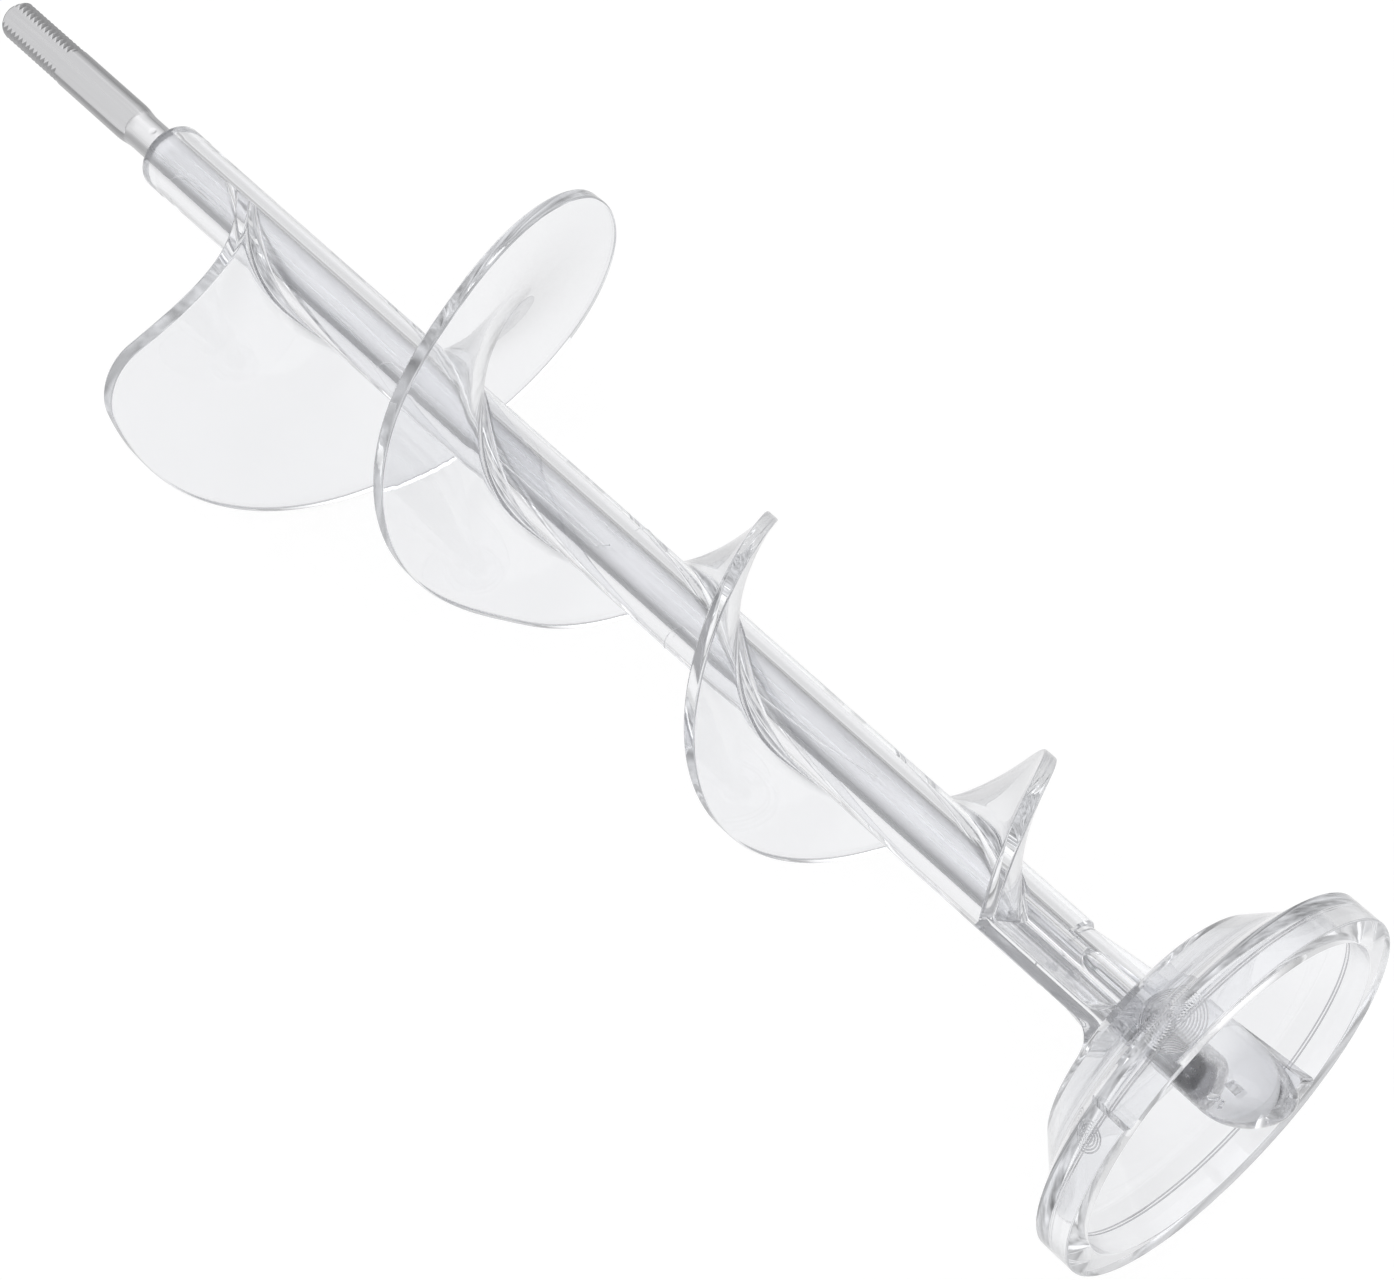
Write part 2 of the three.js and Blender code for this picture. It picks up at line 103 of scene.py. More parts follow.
class AugerScrewSizes(bpy.types.PropertyGroup):
    """Sizes of the sleeve, the flight and the vane."""

    sleeve_start: length("Sleeve start", 65.0, "Station of the sleeve's lip")
    sleeve_end: length("Sleeve end", 379.3, "Station where the neck begins")
    sleeve_diameter: length("Sleeve diameter", 17.5, "Outside diameter of the sleeve")
    lip_radius: length("Lip radius", 2.5, "Rounding of the sleeve's lip")
    pitch: length("Pitch", 88.0, "Axial advance of one turn of the flight")
    start: length("Flight start", 99.4, "Station where the straight leading edge leaves its fillet")
    end: length("Flight end", 371.7, "Station where the flight meets the vane")
    start_roll: turning("Start roll", 95.24, "Roll of the flight's start")
    thickness: length("Flight thickness", 3.4, "Thickness square to the flight's slope")
    fillet: length("Root fillet", 4.0, "Height of the fillet between the flight and the sleeve")
    front_root: length("Front root", 2.6, "Width of the root fillet on the flight's front face")
    rear_root: length("Rear root", 1.2, "Width of the root fillet on the flight's rear face")
    edge_radius: length("Edge radius", 0.5, "Rounding of the flight's rim")
    corner_radius: length("Corner radius", 12.0, "Rounding between the leading edge and the rim")
    front_diameter: length("Front diameter", 120.0, "Diameter of the first turn")
    shoulder_diameter: length("Shoulder diameter", 100.0, "Diameter of the short shoulder")
    rear_diameter: length("Rear diameter", 60.0, "Diameter of the later turns")
    taper_start: length("Taper start", 173.3, "Station where the first turn begins to narrow")
    shoulder_start: length("Shoulder start", 189.7, "Station where the shoulder begins")
    shoulder_end: length("Shoulder end", 193.7, "Station where the shoulder ends")
    taper_end: length("Taper end", 221.3, "Station where the flight is at its rear diameter")
    vane_thickness: length("Vane thickness", 3.6, "Thickness of the drive vane")
    vane_flare: length("Vane flare", 5.7, "Fillet between the vane and the cup's back")


class AugerCupSizes(bpy.types.PropertyGroup):
    """Sizes of the drive cup and its dog."""

    back: length("Cup back", 404.4, "Station of the cup's flat back")
    rim: length("Cup rim", 426.7, "Station of the cup's rim")
    neck_start_radius: length("Neck start", 7.8, "Radius of the neck beside the sleeve")
    neck_end_radius: length("Neck end", 10.0, "Radius of the neck beside the cup")
    neck_fillet: length("Neck fillet", 6.0, "Fillet between the neck and the cup's back")
    wall: length("Wall", 3.0, "Thickness of the cup's wall")
    back_radius: length("Back radius", 30.0, "Radius of the flat back")
    bend_radius: length("Bend radius", 2.5, "Rounding between the back and the sloping wall")
    slope: turning("Wall slope", 43.0, "Slope of the cup's wall against the axis")
    ring_diameter: length("Ring diameter", 95.8, "Outside diameter of the rim ring")
    flange_radius: length("Flange radius", 39.6, "Radius where the ring's flange begins")
    flange_reach: length("Flange length", 4.5, "Length of the ring's flange")
    bore_radius: length("Bore radius", 41.6, "Radius of the ring's bore")
    ring_edge: length("Ring edge", 0.4, "Rounding of the rim")
    ledge_bead: length("Ledge bead", 0.16, "Radius of the two fine beads where the ring's bore ends")
    ledge_gap: length("Ledge gap", 0.5, "Distance between the two fine beads")
    notch_roll: turning("Notch roll", 128.6, "Direction of the notch in the ring")
    notch_angle: turning("Notch angle", 20.8, "Angle that the notch spans")
    notch_depth: length("Notch depth", 3.1, "Depth of the notch")
    dog_roll: turning("Dog roll", 26.24, "Direction of the dog's longer side")
    dog_radius: length("Dog radius", 9.4, "Radius of the dog's boss")
    dog_offset_y: length("Dog offset", 3.6, "Distance of the boss's middle from the axis")
    dog_offset_z: length("Dog drop", 1.2, "Distance of the boss's middle below the axis")
    dome_reach: length("Dome length", 14.5, "Length of the boss's domed end")
    dome_lean: length("Dome lean", 2.8, "Distance that the dome leans towards the tab")
    dog_proud: length("Dog proud", 10.7, "Distance of the dome's top past the rim")
    tab_proud: length("Tab proud", 8.4, "Distance of the tab's end past the rim")
    tab_roll: turning("Tab roll", 13.7, "Turn of the tab against the boss")
    tab_width: length("Tab width", 8.2, "Width of the tab")
    tab_flare: length("Tab flare", 2.2, "Growth of the tab towards its open end")
    tab_corner: length("Tab corner", 1.0, "Rounding of the tab's end")


class AugerLooks(bpy.types.PropertyGroup):
    """Colours and finishes."""

    plastic_tint: FloatVectorProperty(
        name="Plastic tint", description="Tint of the clear moulding", subtype="COLOR",
        size=4, min=0.0, max=1.0, default=(0.925, 0.93, 0.945, 1.0))
    plastic_ior: FloatProperty(
        name="Plastic IOR", description="Index of refraction of the clear moulding", default=1.53, min=1.0)
    steel_colour: FloatVectorProperty(
        name="Steel colour", description="Colour of the drawn bar", subtype="COLOR",
        size=4, min=0.0, max=1.0, default=(0.54, 0.54, 0.55, 1.0))
    steel_roughness: FloatProperty(
        name="Steel roughness", description="Roughness of the drawn bar", default=0.3, min=0.0, max=1.0)


# ---- Mesh helpers ----

def along_axis(station):
    """The X of a station."""
    return station - bpy.context.scene.auger_cup.rim


def smooth(share):
    """A ramp with soft ends, from 0 to 1."""
    share = min(max(share, 0.0), 1.0)
    return share * share * (3 - 2 * share)


def mix(first, last, share):
    """The number that is a share of the way from first to last."""
    return first + (last - first) * share


def new_piece(name, mesh):
    """An object in the scene that holds a mesh."""
    piece = bpy.data.objects.new(name, mesh)
    bpy.context.scene.collection.objects.link(piece)
    return piece


def mesh_from(name, points, faces):
    """A mesh of points and of faces that name them by number."""
    mesh = bpy.data.meshes.new(name)
    mesh.from_pydata([tuple(point) for point in points], [], [tuple(face) for face in faces])
    mesh.validate()
    return mesh


def evaluated_mesh(carrier):
    """An object's mesh with its modifiers applied."""
    return bpy.data.meshes.new_from_object(carrier.evaluated_get(bpy.context.evaluated_depsgraph_get()))


def ring_faces(rows, around, closed=False):
    """Faces between rows of points, each of which is a ring. Closed rows join the last to the first."""
    return [
        (row * around + step, row * around + (step + 1) % around,
         (row + 1) % rows * around + (step + 1) % around, (row + 1) % rows * around + step)
        for row in range(rows if closed else rows - 1) for step in range(around)
    ]


def tidy_mesh(mesh, weld=WELD):
    """Welds doubles, closes holes and points the faces outwards."""
    shape = bmesh.new()
    shape.from_mesh(mesh)
    bmesh.ops.remove_doubles(shape, verts=shape.verts, dist=weld)
    bmesh.ops.dissolve_degenerate(shape, edges=shape.edges, dist=weld)
    bmesh.ops.holes_fill(shape, edges=[edge for edge in shape.edges if edge.is_boundary], sides=0)
    bmesh.ops.recalc_face_normals(shape, faces=shape.faces)
    shape.to_mesh(mesh)
    shape.free()


def turned(name, profile, steps):
    """Turns a list of (station, radius) about the axis. It starts and ends on the axis."""
    points = []
    rings = []
    for station, radius in profile:
        count = steps if radius > 0 else 1
        rings.append((len(points), count))
        for step in range(count):
            angle = 2 * pi * step / count
            points.append((along_axis(station), radius * cos(angle), radius * sin(angle)))
    faces = []
    for (first, first_count), (second, second_count) in zip(rings, rings[1:]):
        for step in range(steps):
            after = (step + 1) % steps
            if first_count == 1:
                faces.append((first, second + after, second + step))
            elif second_count == 1:
                faces.append((first + step, first + after, second))
            else:
                faces.append((first + step, first + after, second + after, second + step))
    mesh = mesh_from(name, points, faces)
    tidy_mesh(mesh)
    return mesh


def ringed(name, rings):
    """Joins rings of equal length into a skin and closes its two ends with a fan."""
    count = len(rings[0])
    points = [point for ring in rings for point in ring]
    faces = ring_faces(len(rings), count)
    for row in (0, len(rings) - 1):
        middle = len(points)
        points.append(tuple(np.mean(rings[row], axis=0)))
        faces += [
            (row * count + step, row * count + (step + 1) % count, middle) for step in range(count)]
    mesh = mesh_from(name, points, faces)
    tidy_mesh(mesh)
    return mesh


def arc(station, radius, size, start, stop, steps):
    """Points of an arc about (station, radius). Angles are from the first axis, in degrees."""
    return [
        (station + size * cos(radians(angle)), radius + size * sin(radians(angle)))
        for angle in np.linspace(start, stop, steps + 1)
    ]


def straight(first, last, spacing):
    """Points between two profile points, without the ends, no further apart than the spacing."""
    start = np.array(first)
    way = np.array(last) - start
    count = max(1, int(np.ceil(hypot(*way) / spacing)))
    return [tuple(start + way * step / count) for step in range(1, count)]


def dense(profile, spacing):
    """The profile with its long sides divided."""
    points = []
    for first, last in zip(profile, profile[1:]):
        points += [first, *straight(first, last, spacing)]
    return [*points, profile[-1]]


def extruded(name, outline, depth, matrix):
    """Extrudes a closed outline in XY along +Z and places it."""
    count = len(outline)
    points = [(x, y, z) for z in (0.0, depth) for x, y in outline]
    faces = [tuple(reversed(range(count))), tuple(range(count, 2 * count))]
    faces += [(i, (i + 1) % count, count + (i + 1) % count, count + i) for i in range(count)]
    mesh = mesh_from(name, points, faces)
    mesh.transform(matrix)
    tidy_mesh(mesh)
    return mesh


def combine(mesh, other, operation):
    """Joins a closed mesh with another or cuts it by the other, and returns the result."""
    base = new_piece("combine_base", mesh)
    tool = new_piece("combine_tool", other)
    modifier = base.modifiers.new("combine", "BOOLEAN")
    modifier.operation = operation
    modifier.object = tool
    modifier.solver = "MANIFOLD"
    result = evaluated_mesh(base)
    for piece in (base, tool):
        bpy.data.objects.remove(piece)
    if not result.polygons:
        raise RuntimeError(f"{operation} left nothing of {mesh.name}")
    return result


def finish_piece(name, mesh, material, sharp_angle, nodes):
    """Puts a mesh in the scene as a piece of the object that stands for CAD nodes."""
    tidy_mesh(mesh, PIECE_WELD)
    mesh.name = name
    mesh.materials.clear()
    mesh.materials.append(material)
    mesh.shade_smooth()
    mesh.set_sharp_from_angle(angle=radians(sharp_angle))
    piece = new_piece(name, mesh)
    modifier = piece.modifiers.new("even_normals", "WEIGHTED_NORMAL")
    modifier.keep_sharp = True
    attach(piece, BODY)
    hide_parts(*nodes)
    return piece


# ---- Node helpers ----

class Field:
    """A number in a node tree. Arithmetic on it adds Math nodes."""

    def __init__(self, tree, socket):
        self.tree = tree
        self.socket = socket

    def math(self, operation, *others, first=None):
        """A Math node on this number and others, or on a first number and this one."""
        node = self.tree.nodes.new("ShaderNodeMath")
        node.operation = operation
        values = (self, *others) if first is None else (first, self)
        for target, value in zip(node.inputs, values):
            if isinstance(value, Field):
                self.tree.links.new(value.socket, target)
            else:
                target.default_value = value
        return Field(self.tree, node.outputs[0])

    def __add__(self, other):
        return self.math("ADD", other)

    __radd__ = __add__

    def __sub__(self, other):
        return self.math("SUBTRACT", other)

    def __rsub__(self, other):
        return self.math("SUBTRACT", first=other)

    def __mul__(self, other):
        return self.math("MULTIPLY", other)

    __rmul__ = __mul__

    def __truediv__(self, other):
        return self.math("DIVIDE", other)

    def clamp(self):
        """The number kept from 0 to 1."""
        return self.math("MAXIMUM", 0.0).math("MINIMUM", 1.0)

    def share(self, low, high):
        """How far the number is from low to high, from 0 to 1."""
        return ((self - low) / (high - low)).clamp()

    def smooth_share(self, low, high):
        """The same with soft ends."""
        part = self.share(low, high)
        return part * part * (3.0 - 2.0 * part)

    def choose(self, limit, below, above):
        """below where the number is less than the limit, and above elsewhere."""
        part = self.math("LESS_THAN", limit)
        return above + (below - above) * part


class GeometryTree:
    """A geometry node tree whose inputs are its named sizes."""

    def __init__(self, name, sizes):
        self.tree = bpy.data.node_groups.new(name, "GeometryNodeTree")
        self.tree.interface.new_socket("Geometry", in_out="OUTPUT", socket_type="NodeSocketGeometry")
        self.sizes = sizes
        for label, value in sizes.items():
            kind = "NodeSocketInt" if isinstance(value, int) else "NodeSocketFloat"
            self.tree.interface.new_socket(label, in_out="INPUT", socket_type=kind)
        self.tree.interface.new_socket("Material", in_out="INPUT", socket_type="NodeSocketMaterial")
        self.source = self.tree.nodes.new("NodeGroupInput")
        self.target = self.tree.nodes.new("NodeGroupOutput")

    def size(self, label):
        """A named input of the tree."""
        return Field(self.tree, self.source.outputs[label])

    def node(self, kind, inputs):
        """A new node with its inputs linked or set."""
        node = self.tree.nodes.new(kind)
        for label, value in inputs.items():
            socket = node.inputs[label]
            if isinstance(value, Field):
                self.tree.links.new(value.socket, socket)
            elif isinstance(value, bpy.types.NodeSocket):
                self.tree.links.new(value, socket)
            else:
                socket.default_value = value
        return node

    def vector(self, x, y, z):
        """A vector of three numbers."""
        return self.node("ShaderNodeCombineXYZ", {"X": x, "Y": y, "Z": z}).outputs[0]

    def finish(self, geometry):
        """Welds the surface, realises instances and sets the material."""
        welded = self.node("GeometryNodeMergeByDistance", {"Geometry": geometry, "Distance": WELD})
        real = self.node("GeometryNodeRealizeInstances", {"Geometry": welded.outputs[0]})
        painted = self.node("GeometryNodeSetMaterial", {
            "Geometry": real.outputs[0], "Material": self.source.outputs["Material"]})
        self.tree.links.new(painted.outputs[0], self.target.inputs[0])

    def mesh(self, material):
        """The tree's result as a plain mesh."""
        carrier = new_piece("tree_carrier", bpy.data.meshes.new("tree_carrier"))
        modifier = carrier.modifiers.new("tree", "NODES")
        modifier.node_group = self.tree
        for item in self.tree.interface.items_tree:
            if item.in_out == "INPUT":
                modifier[item.identifier] = material if item.name == "Material" else self.sizes[item.name]
        result = evaluated_mesh(carrier)
        carrier.modifiers.remove(modifier)
        bpy.data.objects.remove(carrier)
        tidy_mesh(result)
        return result


# ---- Materials ----

# Reflections after which a ray counts as caught in the plastic, and its painted glow for the guided light
CAUGHT_DEPTH = 3.5
PAINTED_GUIDED_GLOW = (0.46, 0.465, 0.48, 1.0)
GUIDED_PATCHES = (0.15, 1.0)
# Painted shades, and how far a face is turned away, from 0 to 1, where a painted shade begins and where it
# is full
OUTLINE_PAINTED_SHADE = (0.42, 0.42, 0.44, 1.0)
OUTLINE_FACING = (0.6, 0.95)
DOG_PAINTED_SHADE = (0.74, 0.745, 0.77, 1.0)
DOG_FACING = (0.3, 0.85)
POCKET_PAINTED_SHADE = (0.44, 0.44, 0.46, 1.0)
LINE_PAINTED_SHADE = (0.3, 0.3, 0.32, 1.0)
# Where the dog's painted shade fades in along X, and where it fades out away from the axis
DOG_START = (-9 * MM, -2 * MM)
DOG_REACH = (19 * MM, 21 * MM)
# Where the nose pocket's rough wall, with its painted shade, begins past the cup's back, over what length,
# and its margin
ROUGH_START = 7 * MM
ROUGH_FADE = 4 * MM
ROUGH_MARGIN = 0.1 * MM
# The dark lines of painted shade on the ledge's beads and on the ripples: their half widths, as shares of a
# bead's radius and of the ripples' spacing, and how far from the bore the ledge's lines reach
LEDGE_CREST = 1.2
RIPPLE_CREST = 0.24
LEDGE_REACH = 0.4 * MM
# Waves of the surfaces, as (scale along X, Y and Z, detail), and the range that they mostly keep to
SLOW_WAVES = ((60.0, 60.0, 60.0), 1.0)
GUIDED_WAVES = ((160.0, 160.0, 160.0), 2.0)
STIPPLE_WAVES = ((1500.0, 1500.0, 1500.0), 2.0)
STREAK_WAVES = ((30.0, 2600.0, 2600.0), 3.0)
PATCH_WAVES = ((40.0, 120.0, 120.0), 2.0)
WAVE_RANGE = (0.3, 0.7)
# What the waves do: shades of the colour, roughness or its change, and bumps as (strength, height)
PLASTIC_SHADE = 0.985
PLASTIC_ROUGHNESS = (0.0, 0.03)
PLASTIC_BUMP = (0.15, 0.2 * MM)
STIPPLE_ROUGHNESS = 0.7
STEEL_SHADES = (0.9, 1.08)
STEEL_ROUGHNESS = (-0.06, 0.08)
STEEL_BUMP = (0.25, 0.04 * MM)
# Darkening of the tang, painted shade of the nose in the dog's pocket, and how far before their ends the
# steel changes
TANG_SHADE = 0.76
TANG_FADE = 1 * MM
NOSE_PAINTED_SHADE = 0.65
NOSE_FADE = (14 * MM, 5 * MM)
BLACK = (0.0, 0.0, 0.0, 1.0)
WHITE = (1.0, 1.0, 1.0, 1.0)


def shader_input(tree, label, kind, default):
    """A named input of a node group, with its default."""
    socket = tree.interface.new_socket(label, in_out="INPUT", socket_type=kind)
    socket.default_value = default


def surface_waves():
    """Node group: slow waves of a moulded or drawn surface, with a scale for each direction."""
    if "Surface waves" in bpy.data.node_groups:
        return bpy.data.node_groups["Surface waves"]
    tree = bpy.data.node_groups.new("Surface waves", "ShaderNodeTree")
    shader_input(tree, "Scale", "NodeSocketVector", (1.0, 1.0, 1.0))
    shader_input(tree, "Detail", "NodeSocketFloat", 2.0)
    tree.interface.new_socket("Wave", in_out="OUTPUT", socket_type="NodeSocketFloat")
    source = tree.nodes.new("NodeGroupInput")
    target = tree.nodes.new("NodeGroupOutput")
    place = tree.nodes.new("ShaderNodeTexCoord")
    stretch = tree.nodes.new("ShaderNodeVectorMath")
    stretch.operation = "MULTIPLY"
    noise = tree.nodes.new("ShaderNodeTexNoise")
    noise.inputs["Scale"].default_value = 1.0
    tree.links.new(place.outputs["Object"], stretch.inputs[0])
    tree.links.new(source.outputs["Scale"], stretch.inputs[1])
    tree.links.new(stretch.outputs[0], noise.inputs["Vector"])
    tree.links.new(source.outputs["Detail"], noise.inputs["Detail"])
    tree.links.new(noise.outputs["Fac"], target.inputs[0])
    return tree


def new_material(name):
    """A material with its node tree and its Principled BSDF."""
    material = bpy.data.materials.new(name)
    material.use_nodes = True
    tree = material.node_tree
    return material, tree, tree.nodes["Principled BSDF"]


def add_waves(tree, scale, detail):
    """The surface waves at a scale and a detail."""
    node = tree.nodes.new("ShaderNodeGroup")
    node.node_tree = surface_waves()
    node.inputs["Scale"].default_value = scale
    node.inputs["Detail"].default_value = detail
    return node.outputs["Wave"]


def mapped(tree, value, low, high):
    """Waves brought to the range from low to high."""
    node = tree.nodes.new("ShaderNodeMapRange")
    tree.links.new(value, node.inputs["Value"])
    for label, limit in zip(("From Min", "From Max", "To Min", "To Max"), (*WAVE_RANGE, low, high)):
        node.inputs[label].default_value = limit
    return node.outputs[0]


def tinted(tree, value, low, high):
    """The colour low where the value is 0, and high where it is 1."""
    node = tree.nodes.new("ShaderNodeMix")
    node.data_type = "RGBA"
    tree.links.new(value, node.inputs["Factor"])
    for label, colour in (("A", low), ("B", high)):
        if isinstance(colour, bpy.types.NodeSocket):
            tree.links.new(colour, node.inputs[label])
        else:
            node.inputs[label].default_value = colour
    return node.outputs["Result"]


def bumped(tree, value, strength, distance):
    """The normal of a surface that rises with the value."""
    node = tree.nodes.new("ShaderNodeBump")
    node.inputs["Strength"].default_value = strength
    node.inputs["Distance"].default_value = distance
    tree.links.new(value, node.inputs["Height"])
    return node.outputs["Normal"]


def darker(colour, amount):
    """The colour times an amount."""
    return (*(channel * amount for channel in colour[:3]), 1.0)


def painted_guided_glow(tree, shader):
    """Paints emission, a pale grey glow, on rays caught in the plastic in place of the light that it
    guides.
    """
    path = tree.nodes.new("ShaderNodeLightPath")
    caught = Field(tree, path.outputs["Glossy Depth"]).math("GREATER_THAN", CAUGHT_DEPTH)
    patches = Field(tree, mapped(tree, add_waves(tree, *GUIDED_WAVES), *GUIDED_PATCHES))
    light = (caught * patches).socket
    # Painted glow: emission stands in for light guided inside the plastic
    tree.links.new(tinted(tree, light, BLACK, PAINTED_GUIDED_GLOW), shader.inputs["Emission Color"])
    shader.inputs["Emission Strength"].default_value = 1.0


def object_axes(tree):
    """The three object coordinates, and the distance from the object's axis."""
    place = tree.nodes.new("ShaderNodeTexCoord")
    split = tree.nodes.new("ShaderNodeSeparateXYZ")
    tree.links.new(place.outputs["Object"], split.inputs[0])
    along, across, upright = (Field(tree, split.outputs[axis]) for axis in "XYZ")
    return along, across, upright, (across * across + upright * upright).math("SQRT")


def in_dog(along, aside):
    """1 on the thick dog beyond the middle of the cup, where shade is painted, and 0 elsewhere."""
    return along.smooth_share(*DOG_START) * (1.0 - aside.share(*DOG_REACH))


def in_nose_pocket(along, aside):
    """1 on the rough wall of the pocket about the bar's nose, which gets painted shade, and 0 elsewhere."""
    start = along_axis(bpy.context.scene.auger_cup.back) + ROUGH_START
    end = along_axis(bpy.context.scene.auger_shaft.reach) + NOSE_POCKET + ROUGH_MARGIN
    edge = NOSE_POCKET_RADIUS + ROUGH_MARGIN
    inside = along.share(start, start + ROUGH_FADE) * (1.0 - along.share(end, end + ROUGH_MARGIN))
    return inside * (1.0 - aside.share(edge, edge + ROUGH_MARGIN))


def on_ledge_beads(along, aside):
    """1 on the two fine beads of the ledge, and 0 elsewhere."""
    cup = bpy.context.scene.auger_cup
    first = along_axis(ledge_station(cup)) + cup.ledge_bead
    second = first + cup.ledge_bead + cup.ledge_gap
    half = cup.ledge_bead * LEDGE_CREST
    near = sum((along - bead).math("ABSOLUTE").math("LESS_THAN", half) for bead in (first, second))
    return near.clamp() * (aside - cup.bore_radius).math("ABSOLUTE").math("LESS_THAN", LEDGE_REACH)


def on_ripples(along, across, upright, aside):
    """1 on the crests of the ripples inside the cup's wall, and 0 elsewhere."""
    cup = bpy.context.scene.auger_cup
    inner, inner_radius = wall_inside(cup)
    wall = (along - along_axis(inner)) * tan(cup.slope) + inner_radius
    near_wall = (aside - wall.math("MINIMUM", cup.bore_radius)).math("ABSOLUTE")
    crests = 0.0 * along
    for station, roll, count in RIPPLES:
        towards = across * cos(radians(roll)) + upright * sin(radians(roll))
        beside = upright * cos(radians(roll)) - across * sin(radians(roll))
        lengthwise = (along - along_axis(station * MM)) / RIPPLE_STRETCH
        sideways = beside.math("ARCTAN2", towards) * wall_radius(cup, station * MM)
        size = (lengthwise * lengthwise + sideways * sideways).math("SQRT") / (RIPPLE_SPACING * MM)
        crest = ((size + 0.5).math("FRACT") - 0.5).math("ABSOLUTE").math("LESS_THAN", RIPPLE_CREST)
        crests = crests + crest * size.math("LESS_THAN", count + 0.5) * size.math("GREATER_THAN", 0.5)
    return crests * near_wall.math("LESS_THAN", 2 * RIPPLE_RADIUS)


def clear_plastic():
    """Clear plastic with grey painted shade on its edges, dog, nose pocket and fine lines, and a painted
    glow.
    """
    looks = bpy.context.scene.auger_looks
    material, tree, shader = new_material("clear_plastic")
    shader.inputs["IOR"].default_value = looks.plastic_ior
    shader.inputs["Transmission Weight"].default_value = 1.0
    along, across, upright, aside = object_axes(tree)
    dog = in_dog(along, aside)
    pocket = in_nose_pocket(along, aside)
    facing = Field(tree, tree.nodes.new("ShaderNodeLayerWeight").outputs["Facing"])
    # Painted shade: grey outlines where faces turn away from the view, sooner on the dog
    outline = facing.smooth_share(*OUTLINE_FACING).math("MAXIMUM", facing.smooth_share(*DOG_FACING) * dog)
    slow = add_waves(tree, *SLOW_WAVES)
    tint = tuple(looks.plastic_tint)
    colour = tinted(tree, slow, tint, darker(tint, PLASTIC_SHADE))
    # Painted shade in grey on the dog, the nose pocket, the ledge's beads, the ripples' crests and the
    # outlines
    for mask, shade in (
        (dog, DOG_PAINTED_SHADE), (pocket, POCKET_PAINTED_SHADE), (on_ledge_beads(along, aside), LINE_PAINTED_SHADE),
        (on_ripples(along, across, upright, aside), LINE_PAINTED_SHADE), (outline, OUTLINE_PAINTED_SHADE),
    ):
        colour = tinted(tree, mask.socket, colour, shade)
    tree.links.new(colour, shader.inputs["Base Color"])
    stipple = Field(tree, add_waves(tree, *STIPPLE_WAVES)) * pocket * STIPPLE_ROUGHNESS
    rough = Field(tree, mapped(tree, slow, *PLASTIC_ROUGHNESS)) + stipple
    tree.links.new(rough.socket, shader.inputs["Roughness"])
    tree.links.new(bumped(tree, slow, *PLASTIC_BUMP), shader.inputs["Normal"])
    # Painted glow on rays caught in the plastic
    painted_guided_glow(tree, shader)
    material.cycles.emission_sampling = "NONE"
    return material


def brushed_steel():
    """Drawn steel with streaks along the bar, darker on the pressed tang, with painted shade on the nose.
    """
    looks = bpy.context.scene.auger_looks
    shaft = bpy.context.scene.auger_shaft
    material, tree, shader = new_material("brushed_steel")
    shader.inputs["Metallic"].default_value = 1.0
    streaks = add_waves(tree, *STREAK_WAVES)
    patches = add_waves(tree, *PATCH_WAVES)
    along = object_axes(tree)[0]
    tang_end = along_axis(shaft.flat_reach)
    nose_end = along_axis(shaft.reach)
    tang = 1.0 - along.share(tang_end - TANG_FADE, tang_end)
    nose = along.share(nose_end - NOSE_FADE[0], nose_end - NOSE_FADE[1])
    steel = tuple(looks.steel_colour)
    colour = tinted(tree, patches, *(darker(steel, shade) for shade in STEEL_SHADES))
    # The tang is darker, and the nose in the dog's pocket gets painted shade
    for mask, shade in ((tang, TANG_SHADE), (nose, NOSE_PAINTED_SHADE)):
        colour = tinted(tree, mask.socket, colour, darker(steel, shade))
    tree.links.new(colour, shader.inputs["Base Color"])
    rough = [looks.steel_roughness + change for change in STEEL_ROUGHNESS]
    tree.links.new(mapped(tree, streaks, *rough), shader.inputs["Roughness"])
    tree.links.new(bumped(tree, streaks, *STEEL_BUMP), shader.inputs["Normal"])
    return material


# ---- Steel shaft ----

# The step where the pressed flats end: its length, the cosine of the flat's corner, where its bow ends,
# and how fast it grows from the round edges
STEP_LENGTH = 0.35 * MM
FLAT_CORNER = 0.69
FLAT_EASE = 1.5
# How far the thread's crests lie under the tang's edges
THREAD_RELIEF = 0.1 * MM
# The tip's flat face as a share of the first ring of points
TIP_FACE = 0.62
MARK_RADIUS = 1.0 * MM
MARK_DEPTH = 0.11 * MM
# Rings of points in one turn of the thread and round the nose
THREAD_RINGS = 10
NOSE_RINGS = 12
# Stretches of a quarter turn from the tang's round edge to its flat, as (first degree, last degree,
# points), closest about the flat's corner
QUARTER = ((0, 30, 7), (30, 64, 14), (64, 90, 6))


